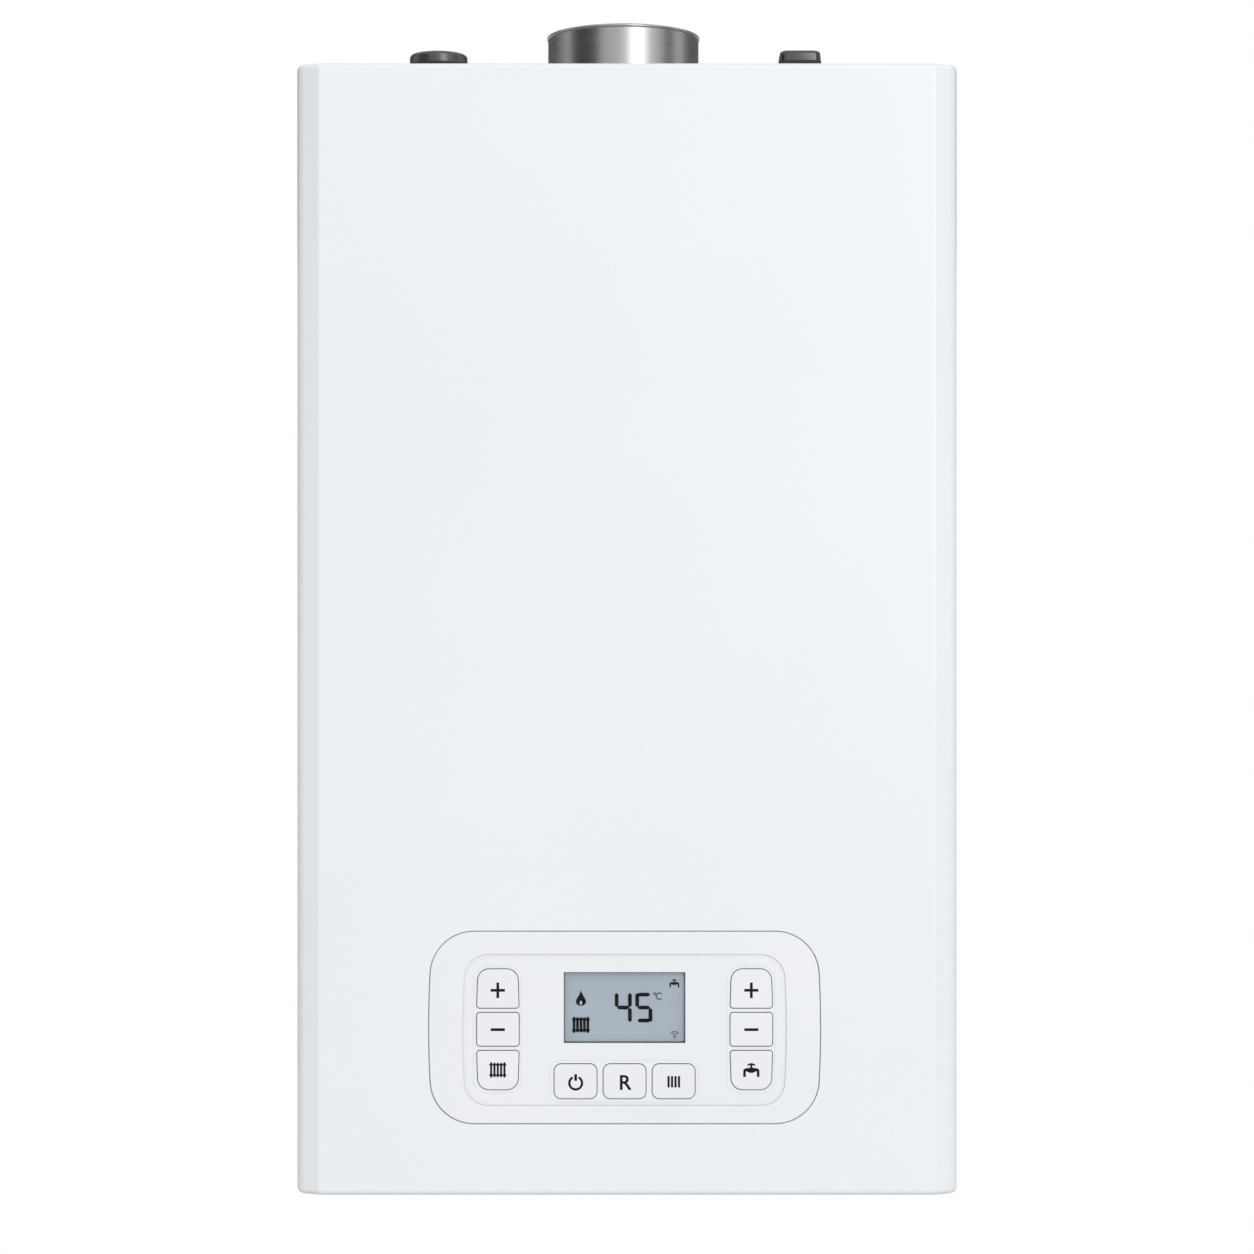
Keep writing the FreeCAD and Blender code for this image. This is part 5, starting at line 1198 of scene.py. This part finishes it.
@dataclass
class ControlPanel:
    """The bezel with its keys: their printed symbols and the beads round each group."""

    key_front: float = -250.1 * MM
    recess_floor: float = -249.2 * MM
    print_depth: float = 0.05 * MM
    bead_depth: float = 0.3 * MM
    bead_width: float = 0.8 * MM
    bead_edge: float = 0.22 * MM
    symbols: dict[str, tuple[Symbol, float, float]] = field(default_factory=lambda: {
        "heating_plus": (Symbol.PLUS, -79.8, 126.9), "heating_minus": (Symbol.MINUS, -79.8, 102.6),
        "heating_mode": (Symbol.RADIATOR, -79.8, 77.7), "water_plus": (Symbol.PLUS, 76.8, 126.9),
        "water_minus": (Symbol.MINUS, 76.8, 102.6), "water_mode": (Symbol.TAP, 76.8, 77.7),
        "power": (Symbol.POWER, -31.7, 70.2), "reset": (Symbol.RESET, -1.3, 70.0),
        "info": (Symbol.BARS, 28.9, 70.4)})
    beads: dict[str, tuple[float, float, float, float, float]] = field(default_factory=lambda: {
        "heating_bead": (-79.8, 102.7, 30.4, 79.2, 8.6), "water_bead": (76.8, 102.7, 30.4, 79.2, 8.6),
        "row_bead": (-1.5, 70.8, 92.6, 26.6, 6.4)})

    def build(self, wardrobe: Wardrobe) -> None:
        """Print every key and lay the beads.

        Args:
            wardrobe: The materials.
        """
        pen = SymbolSet(self.key_front)
        for key, (symbol, x, z) in self.symbols.items():
            obj = pen.draw(symbol, f"{key}_symbol", x * MM, z * MM)
            Bench.thicken(obj, self.print_depth)
            wardrobe.dress(obj, INK)
            finish_piece(obj, f"{key}_key")
        for name, (x, z, width, height, radius) in self.beads.items():
            obj = self.bead(name, x * MM, z * MM, width * MM, height * MM, radius * MM)
            # The bezel finish paints shade on the beads' sideways faces.
            wardrobe.dress(obj, BEZEL)
            finish_piece(obj, CHASSIS)

    def bead(self, name: str, x: float, z: float, width: float, height: float,
             radius: float) -> bpy.types.Object:
        """A low bead round a group of keys.

        Args:
            name: The object's name.
            x: Its middle along x.
            z: Its middle along z.
            width: Its size along x.
            height: Its size along z.
            radius: Its corner radius.

        Returns:
            The bead.
        """
        obj = Bench.plate(name, (x, self.recess_floor, z), width, height)
        bpy.ops.object.mode_set(mode="EDIT")
        bpy.ops.mesh.select_all(action="SELECT")
        bpy.ops.mesh.bevel(affect="VERTICES", offset=radius, offset_type="OFFSET", segments=8)
        bpy.ops.mesh.select_all(action="SELECT")
        bpy.ops.mesh.inset(thickness=self.bead_width)
        bpy.ops.mesh.delete(type="FACE")
        bpy.ops.object.mode_set(mode="OBJECT")
        Bench.thicken(obj, self.bead_depth)
        Bench.modify(obj, "BEVEL", width=self.bead_edge, segments=2, limit_method="ANGLE")
        Bench.smooth(obj)
        return obj


@dataclass
class Display:
    """What the liquid crystal shows: a flame, a radiator, two figures, three small signs and a dark ring of
    painted shade round the screen's edge.

    Sizes of figures and segments are in millimetres.
    """

    level: float = -246.24 * MM
    depth: float = 0.06 * MM
    # Width of the dark ring of painted shade round the screen.
    edge_shade_width: float = 0.5 * MM
    sign_stroke: float = 1.0 * MM
    sign_weight: float = 1.26
    figure_tall: float = 18.4
    figure_reach: float = 4.1
    figure_stroke: float = 2.35
    segment_gap: float = 0.35
    segment_tip: float = 0.25
    segments: dict[str, tuple[str, ...]] = field(default_factory=lambda: {
        "4": ("upper_left", "upper_right", "middle", "lower_right"),
        "5": ("top", "upper_left", "middle", "lower_right", "bottom")})

    def build(self, wardrobe: Wardrobe) -> None:
        """Draw every sign and hand it to the chassis.

        Args:
            wardrobe: The materials.
        """
        pen = SymbolSet(self.level, self.sign_stroke, self.sign_weight)
        dark = [self.figure("4", "figure_four", -2.3, 115.8), self.figure("5", "figure_five", 10.4, 115.8),
                self.flame("flame_sign", -28.5, 121.6),
                pen.draw(Symbol.RADIATOR, "radiator_sign", -28.5 * MM, 105.1 * MM, 1.04),
                pen.draw(Symbol.TAP, "tap_sign", 29.3 * MM, 130.8 * MM, 0.6)]
        faint_and_shade = [self.degree("degree_sign", 19.2, 122.8), self.signal("signal_sign", 29.4, 97.6)]
        # A dark ring at the screen's edge: painted shade for the shadow of the window's recess.
        faint_and_shade.append(self.edge_shade("display_edge_shade"))
        for group, finish in ((dark, LCD_DARK), (faint_and_shade, FAINT_SEGMENT_AND_EDGE_SHADE)):
            for obj in group:
                Bench.thicken(obj, self.depth)
                wardrobe.dress(obj, finish)
                finish_piece(obj, CHASSIS)

    def edge_shade(self, name: str) -> bpy.types.Object:
        """A thin dark ring round the screen, where it meets the moulding: painted shade for the shadow of the
        window's recess.

        Args:
            name: The object's name.

        Returns:
            The flat object.
        """
        low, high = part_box("display_window")
        middle = [(first + second) / 2 for first, second in zip(low, high)]
        obj = Bench.plate(name, (middle[0], self.level, middle[2]), high[0] - low[0], high[2] - low[2])
        bpy.ops.object.mode_set(mode="EDIT")
        bpy.ops.mesh.select_all(action="SELECT")
        bpy.ops.mesh.inset(thickness=self.edge_shade_width)
        bpy.ops.mesh.delete(type="FACE")
        bpy.ops.object.mode_set(mode="OBJECT")
        return obj

    def figure(self, text: str, name: str, x: float, z: float) -> bpy.types.Object:
        """A figure of seven segments.

        Args:
            text: The figure.
            name: The object's name.
            x: Its middle along x, in millimetres.
            z: Its middle along z, in millimetres.

        Returns:
            The flat object.
        """
        half, quarter, wide = self.figure_stroke / 2, self.figure_tall / 4, self.figure_reach
        places = {"top": (Axis.ACROSS, 0, 2 * quarter - half), "middle": (Axis.ACROSS, 0, 0),
                  "bottom": (Axis.ACROSS, 0, half - 2 * quarter), "upper_left": (Axis.UP, -wide, quarter),
                  "upper_right": (Axis.UP, wide, quarter), "lower_left": (Axis.UP, -wide, -quarter),
                  "lower_right": (Axis.UP, wide, -quarter)}
        parts = []
        for word in self.segments[text]:
            axis, dx, dz = places[word]
            reach = (wide if axis is Axis.ACROSS else quarter) - self.segment_gap
            ease, tip = reach - half * 0.8, self.segment_tip
            levels = [scaled(level)
                      for level in ((-reach, tip, 0), (-ease, half, 0), (ease, half, 0), (reach, tip, 0))]
            spot = ((x + dx) * MM, self.level, (z + dz) * MM)
            parts.append(Bench.strip(f"{name}_{word}", axis, spot, levels))
        return Bench.join(name, parts)

    def flame(self, name: str, x: float, z: float) -> bpy.types.Object:
        """A flame with an open heart: two sides that part and meet again.

        Args:
            name: The object's name.
            x: Its middle along x, in millimetres.
            z: Its middle along z, in millimetres.

        Returns:
            The flat object.
        """
        outer = ((-4.6, 1.0), (-4.1, 2.0), (-3.3, 2.85), (-2.2, 3.15), (-1.2, 3.0), (0.3, 2.3), (1.7, 1.4),
                 (3.1, 0.65), (4.8, 0.08))
        gaps = (0.35, 0.95, 0.75, 0.0, 0.0)
        low = [(height, reach, 0) for height, reach in outer[:2]]
        sides = [[(height, (reach - gap) / 2, sign * (reach + gap) / 2)
                  for (height, reach), gap in zip(outer[1:6], gaps)] for sign in (1, -1)]
        crown = [(height, reach, 0) for height, reach in outer[5:]]
        parts = []
        for index, levels in enumerate([low, *sides, crown]):
            levels = [scaled(level) for level in levels]
            parts.append(Bench.strip(f"{name}_{index}", Axis.UP, (x * MM, self.level, z * MM), levels))
        return Bench.join(name, parts)

    def degree(self, name: str, x: float, z: float) -> bpy.types.Object:
        """A small ring and a C, for degrees Celsius.

        Args:
            name: The object's name.
            x: Its middle along x, in millimetres.
            z: Its middle along z, in millimetres.

        Returns:
            The flat object.
        """
        dot, letter = ((x - 2.1) * MM, self.level, (z + 1.5) * MM), ((x + 0.9) * MM, self.level, z * MM)
        ring = Bench.arc(f"{name}_ring", dot, 0.4 * MM, 0.95 * MM, 0, 360)
        curl = Bench.arc(f"{name}_curl", letter, 1.55 * MM, 2.4 * MM, 45, 270)
        return Bench.join(name, [ring, curl])

    def signal(self, name: str, x: float, z: float) -> bpy.types.Object:
        """A dot under two arcs, for a signal.

        Args:
            name: The object's name.
            x: Its middle along x, in millimetres.
            z: Its middle along z, in millimetres.

        Returns:
            The flat object.
        """
        centre = (x * MM, self.level, z * MM)
        parts = [Bench.arc(f"{name}_{index}", centre, inner * MM, outer * MM, start, sweep)
                 for index, (inner, outer, start, sweep) in enumerate(
                     ((0.12, 0.75, 0, 360), (1.6, 2.2, 40, 100), (3.0, 3.6, 40, 100)))]
        return Bench.join(name, parts)


@dataclass
class Screws:
    """Pan head screws with a cross recess, modelled once for each length and copied to every place.

    Places are in millimetres: round the flue collar, on the chamber's cover and at the casing's rear.
    """

    head_radius: float = 4.0 * MM
    head_rise: float = 2.2 * MM
    shank_radius: float = 2.0 * MM
    head_edge: float = 0.75 * MM
    recess: Point = (4.4 * MM, 0.9 * MM, 2.2 * MM)
    recess_taper: float = 0.45
    flue_spot: tuple[float, float] = (-2.4, -107.0)
    collar_ring: float = 57.0 * math.sqrt(0.5)
    collar_seat: float = 701.6
    cover_seat: float = -215.2
    cover_columns: tuple[float, ...] = (-178.5, 120.5)
    cover_rows: tuple[float, ...] = (399.5, 544.7, 689.9)
    rear_seat: float = -2.2
    rear_columns: tuple[float, ...] = (198.0, -198.0)
    rear_rows: tuple[float, ...] = (120.0, 350.0, 640.0)

    def model(self, name: str, shank: float) -> bpy.types.Object:
        """One screw at the origin, head up, with its seat at z = 0.

        Args:
            name: The object's name.
            shank: The length of its shank.

        Returns:
            The screw.
        """
        Bench.deselect()
        bpy.ops.mesh.primitive_cylinder_add(vertices=40, radius=self.head_radius, depth=self.head_rise,
                                            location=(0, 0, self.head_rise / 2))
        obj = bpy.context.object
        obj.name = name
        Bench.settle()
        bpy.ops.object.mode_set(mode="EDIT")
        Bench.pick(lambda spot: spot.z > self.head_rise - TINY)
        bpy.ops.mesh.bevel(offset=self.head_edge, segments=4, affect="EDGES")
        Bench.pick(lambda spot: spot.z < TINY)
        bpy.ops.mesh.inset(thickness=self.head_radius - self.shank_radius)
        bpy.ops.mesh.extrude_region_move(TRANSFORM_OT_translate={"value": (0, 0, -shank)})
        bpy.ops.object.mode_set(mode="OBJECT")
        for turn in (0, 90):
            Bench.deselect()
            bpy.ops.mesh.primitive_cube_add(size=1, location=(0, 0, self.head_rise),
                                            rotation=(0, 0, math.radians(turn)))
            cutter = bpy.context.object
            cutter.scale = self.recess
            Bench.settle()
            bpy.ops.object.mode_set(mode="EDIT")
            Bench.pick(lambda spot: spot.z < self.head_rise)
            taper = (self.recess_taper, self.recess_taper, 1)
            bpy.ops.transform.resize(value=taper, center_override=(0, 0, 0))
            bpy.ops.object.mode_set(mode="OBJECT")
            Bench.modify(obj, "BOOLEAN", object=cutter, operation="DIFFERENCE")
            bpy.data.objects.remove(cutter)
        Bench.smooth(obj)
        return obj

    def build(self, wardrobe: Wardrobe) -> None:
        """Copy the screws to their places and let them stand for the CAD ones.

        Args:
            wardrobe: The materials.
        """
        reach, (flue_x, flue_y) = self.collar_ring, self.flue_spot
        collar = [(flue_x + sx * reach, flue_y + sy * reach, self.collar_seat)
                  for sx in (1, -1) for sy in (1, -1)]
        cover = [(x, self.cover_seat, z) for x in self.cover_columns for z in self.cover_rows]
        rear = [(x, self.rear_seat, z) for x in self.rear_columns for z in self.rear_rows]
        groups = ((collar, 6.0, Facing.UP), (cover, 4.0, Facing.FRONT), (rear, 2.0, Facing.FRONT))
        self.place("casing_pan_screws", groups, wardrobe, CHASSIS, "casing_screws")

    def place(self, name: str, groups: Sequence[tuple[list[Point], float, Facing]], wardrobe: Wardrobe,
              body: str, node: str) -> None:
        """Copy screws to groups of places, join them and replace a CAD node.

        Args:
            name: The joined object's name.
            groups: Places in millimetres, shank length and facing of each group.
            wardrobe: The materials.
            body: The CAD body that the screws ride on.
            node: The CAD node that they stand for.
        """
        parts = []
        for index, (spots, shank, facing) in enumerate(groups):
            pattern = self.model(f"{name}_{index}", shank * MM)
            parts += [Bench.copy(pattern, scaled(spot), facing) for spot in spots]
            bpy.data.objects.remove(pattern)
        obj = Bench.join(name, parts)
        wardrobe.dress(obj, STEEL_SCREW)
        finish_piece(obj, body)
        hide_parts(node)


@dataclass
class TopFittings:
    """The test fittings on the casing's top: the round plug's seal, and the rectangular cover with its skirt.

    Sizes are in millimetres. Heights are over the origin, and the cap's and skirt's levels over the
    cover's seat, each with the outline's scale.
    """

    plug_spot: tuple[float, float] = (-120.0, -190.0)
    plug_base: float = 707.2
    seal: tuple[tuple[float, float], ...] = (
        (17.6, 0.0), (18.5, 0.1), (18.62, 0.9), (18.5, 1.9), (17.6, 2.1))
    cover_spot: tuple[float, float] = (110.0, -190.0)
    cover_size: tuple[float, float] = (26.4, 22.0)
    cover_seat: float = 703.6
    corner: float = 4.6
    cap: tuple[tuple[float, float], ...] = (
        (0.0, 0.99), (3.0, 0.998), (6.0, 1.0), (9.0, 0.993), (11.0, 0.98), (12.4, 0.957), (13.25, 0.915),
        (13.6, 0.85))
    skirt: tuple[tuple[float, float], ...] = ((0.0, 1.0), (0.4, 1.016), (6.9, 1.022), (7.3, 1.006))
    lug_size: Point = (5.0, 7.3, 6.6)
    lug_inset: float = 0.1
    lug_edge: float = 0.7
    stem: tuple[float, float] = (5.6, 14.0)
    stem_edge: float = 0.8
    crease: float = 40.0

    def build(self, wardrobe: Wardrobe) -> None:
        """Make the seal, the skirt and the cover's cap, and let the cap stand for its CAD node.

        Args:
            wardrobe: The materials.
        """
        centre = scaled((*self.plug_spot, self.plug_base))
        seal = Bench.lathe("plug_seal", centre, [scaled(point) for point in self.seal])
        skirt = self.loft("cover_skirt", self.skirt)
        parts = [self.loft("crowned_cover", self.cap), self.lug(), self.cover_stem()]
        cap = Bench.join("crowned_cover", parts)
        for obj, finish, body, slot in ((seal, SEAL_RUBBER, "plug", "black_rubber"),
                                        (skirt, SEAL_RUBBER, "cover", "black_rubber"),
                                        (cap, SLOT_FINISHES["black_plastic"], "cover", "black_plastic")):
            Bench.smooth(obj, self.crease)
            wardrobe.dress(obj, finish)
            finish_piece(obj, body)
        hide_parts("flue_test_cover")

    def loft(self, name: str, levels: Sequence[tuple[float, float]]) -> bpy.types.Object:
        """Draw the cover's rounded outline up through its levels.

        Args:
            name: The object's name.
            levels: Height over the seat in millimetres and scale of the outline at each level.

        Returns:
            The closed form, in object mode.
        """
        x, y = scaled(self.cover_spot)
        Bench.deselect()
        bpy.ops.mesh.primitive_plane_add(size=1, location=(x, y, self.cover_seat * MM))
        obj = bpy.context.object
        obj.name, obj.scale = name, (*scaled(self.cover_size), 1)
        Bench.settle()
        bpy.ops.object.mode_set(mode="EDIT")
        bpy.ops.mesh.select_all(action="SELECT")
        bpy.ops.mesh.bevel(affect="VERTICES", offset=self.corner * MM, offset_type="OFFSET", segments=7)
        bpy.ops.mesh.select_all(action="SELECT")
        bpy.ops.transform.resize(value=(levels[0][1], levels[0][1], 1), center_override=(x, y, 0))
        for (low, narrow), (high, wide) in zip(levels, levels[1:]):
            bpy.ops.mesh.extrude_region_move(TRANSFORM_OT_translate={"value": (0, 0, (high - low) * MM)})
            bpy.ops.transform.resize(value=(wide / narrow, wide / narrow, 1), center_override=(x, y, 0))
        bpy.ops.mesh.select_all(action="SELECT")
        bpy.ops.mesh.normals_make_consistent(inside=False)
        bpy.ops.object.mode_set(mode="OBJECT")
        return obj

    def lug(self) -> bpy.types.Object:
        """The lug at the cover's left, to pull it by.

        Returns:
            The object, in object mode.
        """
        tall = self.lug_size[2]
        left = self.cover_spot[0] - self.cover_size[0] / 2 + self.lug_inset
        spot = (left, self.cover_spot[1], self.cover_seat + tall / 2)
        Bench.deselect()
        bpy.ops.mesh.primitive_cube_add(size=1, location=scaled(spot))
        obj = bpy.context.object
        obj.name, obj.scale = "cover_lug", scaled(self.lug_size)
        Bench.settle()
        Bench.modify(obj, "BEVEL", width=self.lug_edge * MM, segments=3, limit_method="ANGLE")
        return obj

    def cover_stem(self) -> bpy.types.Object:
        """The stem that the cover holds in its socket with.

        Returns:
            The object, in object mode.
        """
        radius, tall = self.stem
        spot = (*self.cover_spot, self.cover_seat - tall / 2)
        Bench.deselect()
        bpy.ops.mesh.primitive_cylinder_add(vertices=48, radius=radius * MM, depth=tall * MM,
                                            location=scaled(spot))
        obj = bpy.context.object
        obj.name = "cover_stem"
        Bench.settle()
        Bench.modify(obj, "BEVEL", width=self.stem_edge * MM, segments=3, limit_method="ANGLE")
        return obj


@dataclass
class Threads:
    """The pipe threads on the unions' lower ends, wound from a three-sided profile."""

    pitch: float = 1.8 * MM
    turns: int = 19
    start: float = -14.0 * MM
    sizes: dict[float, tuple[float, ...]] = field(default_factory=lambda: {
        13.2: (-130.0, 130.0), 10.5: (-65.0, 0.0, 65.0)})
    offset: float = -85.0 * MM
    profile: float = 0.62 * MM
    steps: int = 36

    def build(self, wardrobe: Wardrobe) -> None:
        """Wind one thread of each size and copy it to its unions.

        Args:
            wardrobe: The materials.
        """
        parts = []
        for radius, spots in self.sizes.items():
            pattern = self.wind(f"thread_{radius:.0f}", radius * MM)
            parts += [Bench.copy(pattern, (x * MM, self.offset, 0)) for x in spots]
            bpy.data.objects.remove(pattern)
        obj = Bench.join("union_threads", parts)
        Bench.smooth(obj)
        wardrobe.dress(obj, BRASS)
        finish_piece(obj, CHASSIS)

    def wind(self, name: str, radius: float) -> bpy.types.Object:
        """Wind a thread round the z axis.

        Args:
            name: The object's name.
            radius: The radius of the cylinder under the thread.

        Returns:
            The thread.
        """
        Bench.deselect()
        bpy.ops.mesh.primitive_circle_add(vertices=3, radius=self.profile, location=(radius, 0, self.start),
                                          rotation=(math.pi / 2, 0, 0))
        obj = bpy.context.object
        obj.name = name
        Bench.settle()
        Bench.modify(obj, "SCREW", angle=math.tau, screw_offset=self.pitch, iterations=self.turns,
                     steps=self.steps, render_steps=self.steps, axis="Z")
        bpy.ops.object.mode_set(mode="EDIT")
        Bench.weld()
        bpy.ops.mesh.fill_holes(sides=4)
        bpy.ops.mesh.select_all(action="SELECT")
        bpy.ops.mesh.normals_make_consistent(inside=False)
        bpy.ops.object.mode_set(mode="OBJECT")
        return obj


@dataclass
class Casework:
    """The CAD nodes that keep their shape and take a finish."""

    finishes: dict[str, Any] = field(default_factory=lambda: SLOT_FINISHES)

    def dress(self, frame: dict[str, Any], wardrobe: Wardrobe) -> None:
        """Give every CAD node the finish of its material slot.

        Args:
            wardrobe: The materials.
        """
        for part in frame["record"]["subparts"]:
            node, slot = part["node"], part["material_slot"]
            wardrobe.dress(frame["nodes"][node], self.finishes[slot])
            log.info("node %s in %s", node, slot)


@dataclass(frozen=True)
class Card:
    """A grey card over the object, out of the camera's sight, that only metal and gloss mirror.

    Its bearing is counted from the front to the right, in degrees, about an upright line at middle
    along y. Its tone is counted from 0 to 255.
    """

    name: str
    bearing: float
    distance: float
    width: float
    tone: int
    tall: float = 0.9
    level: float = 1.18
    middle: float = -0.12

    def stand(self, wardrobe: Wardrobe) -> None:
        """Place the card, facing the object.

        Args:
            wardrobe: The materials.
        """
        turn = math.radians(self.bearing)
        spot = (self.distance * math.sin(turn), self.middle - self.distance * math.cos(turn), self.level)
        Bench.deselect()
        bpy.ops.mesh.primitive_plane_add(size=1, rotation=(math.pi / 2, 0, turn), location=spot)
        obj = bpy.context.object
        obj.name, obj.scale = self.name, (self.width, self.tall, 1)
        Bench.settle()
        obj.visible_camera = obj.visible_transmission = obj.visible_diffuse = obj.visible_shadow = False
        tones = tint(*[self.tone] * 3), tint(*[self.tone - 4] * 3)
        wardrobe.dress(obj, Finish(self.name, *tones, rough=(0.8, 0.9)))


@dataclass
class Studio:
    """Floor, lamp, cards, surroundings and camera."""

    focal: float = 86.12
    sensor: float = 36.0
    view_end: float = 50.0
    eye: Point = (0.0, -2.103, 0.3513)
    floor_spot: Point = (0.0, -0.2, -0.25)
    key_power: float = 99.0
    key_spot: Point = (1.8, -4.7, 2.15)
    key_size: tuple[float, float] = (2.0, 4.2)
    aim: Point = (0.0, -0.2, 0.36)
    sky: float = 0.71
    rear_sky: float = 0.05
    sky_way: Point = (0.0, 1.0, -0.5)
    sky_span: tuple[float, float] = (-0.16, 0.2)
    floor_size: tuple[float, float] = (2.6, 2.2)
    floor_fade: tuple[float, float] = (0.3, 0.78)
    cards: tuple[Card, ...] = (
        Card("left_front_card", -61.0, 1.4, 1.26, 102), Card("left_side_card", -106.0, 1.3, 0.4, 226),
        Card("left_rear_card", -146.0, 1.2, 1.6, 118), Card("right_front_card", 72.0, 1.2, 0.4, 180),
        Card("right_rear_card", 134.0, 1.2, 1.4, 136))

    def build(self, wardrobe: Wardrobe) -> None:
        """Set up everything round the object.

        Args:
            wardrobe: The materials.
        """
        self.camera()
        self.lamp()
        self.surroundings()
        self.floor(wardrobe)
        for card in self.cards:
            card.stand(wardrobe)

    def camera(self) -> None:
        """A level camera straight in front."""
        data = bpy.data.cameras.new("front_camera")
        data.lens, data.sensor_width, data.clip_end = self.focal, self.sensor, self.view_end
        obj = bpy.data.objects.new("front_camera", data)
        obj.location, obj.rotation_euler = self.eye, (math.pi / 2, 0, 0)
        bpy.context.scene.collection.objects.link(obj)
        bpy.context.scene.camera = obj

    def lamp(self) -> None:
        """A soft key lamp from the right and above."""
        data = bpy.data.lights.new("key_lamp", "AREA")
        data.shape, data.energy = "RECTANGLE", self.key_power
        data.size, data.size_y = self.key_size
        obj = bpy.data.objects.new("key_lamp", data)
        obj.location = self.key_spot
        aim = Vector(self.aim) - Vector(self.key_spot)
        obj.rotation_euler = aim.to_track_quat("-Z", "Y").to_euler()
        bpy.context.scene.collection.objects.link(obj)

    def surroundings(self) -> None:
        """A white room: full white to the eye and in reflections, softer as light and softest from behind."""
        world = bpy.data.worlds.new("white_room")
        world.use_nodes = True
        tree = world.node_tree
        path = tree.nodes.new("ShaderNodeLightPath")
        seen = path.outputs["Is Camera Ray"]
        for label in ("Is Glossy Ray", "Is Transmission Ray"):
            both = tree.nodes.new("ShaderNodeMath")
            both.operation = "MAXIMUM"
            tree.links.new(seen, both.inputs[0])
            tree.links.new(path.outputs[label], both.inputs[1])
            seen = both.outputs[0]
        way = tree.nodes.new("ShaderNodeVectorMath")
        way.operation, way.inputs[1].default_value = "DOT_PRODUCT", self.sky_way
        tree.links.new(tree.nodes.new("ShaderNodeTexCoord").outputs["Generated"], way.inputs[0])
        light = remap(tree, way.outputs["Value"], *self.sky_span)
        light.inputs["To Min"].default_value, light.inputs["To Max"].default_value = self.sky, self.rear_sky
        level = remap(tree, seen)
        tree.links.new(light.outputs["Result"], level.inputs["To Min"])
        back = tree.nodes["Background"]
        back.inputs["Color"].default_value = (1, 1, 1, 1)
        tree.links.new(level.outputs["Result"], back.inputs["Strength"])
        bpy.context.scene.world = world

    def floor(self, wardrobe: Wardrobe) -> None:
        """A plain pale floor under the hanging object, which runs out softly into the white.

        Args:
            wardrobe: The materials.
        """
        Bench.deselect()
        bpy.ops.mesh.primitive_plane_add(size=1, location=self.floor_spot)
        obj = bpy.context.object
        obj.name, obj.scale = "pale_floor", (*self.floor_size, 1)
        Bench.settle()
        pale = Finish("pale_floor", tint(238, 239, 240), tint(235, 236, 237), rough=(0.85, 0.95),
                      gloss=0.0)
        wardrobe.dress(obj, pale)
        tree = wardrobe.get(pale).node_tree
        reach = tree.nodes.new("ShaderNodeVectorMath")
        reach.operation = "LENGTH"
        tree.links.new(tree.nodes.new("ShaderNodeTexCoord").outputs["Object"], reach.inputs[0])
        fade = remap(tree, reach.outputs["Value"], *self.floor_fade)
        fade.interpolation_type = "SMOOTHSTEP"
        both = tree.nodes.new("ShaderNodeMixShader")
        tree.links.new(fade.outputs["Result"], both.inputs["Fac"])
        tree.links.new(tree.nodes["Principled BSDF"].outputs["BSDF"], both.inputs[1])
        tree.links.new(tree.nodes.new("ShaderNodeBsdfTransparent").outputs["BSDF"], both.inputs[2])
        tree.links.new(both.outputs["Shader"], tree.nodes["Material Output"].inputs["Surface"])


def main() -> None:
    """Load the frame, build and dress every sub-assembly, then set up the studio."""
    logging.basicConfig(level=logging.INFO, format="%(name)s: %(message)s")
    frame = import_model()
    bpy.context.scene.view_settings.view_transform = "Standard"
    wardrobe = Wardrobe()
    Casework().dress(frame, wardrobe)
    ControlPanel().build(wardrobe)
    Display().build(wardrobe)
    Screws().build(wardrobe)
    TopFittings().build(wardrobe)
    Threads().build(wardrobe)
    Studio().build(wardrobe)


if __name__ == "__main__":
    main()
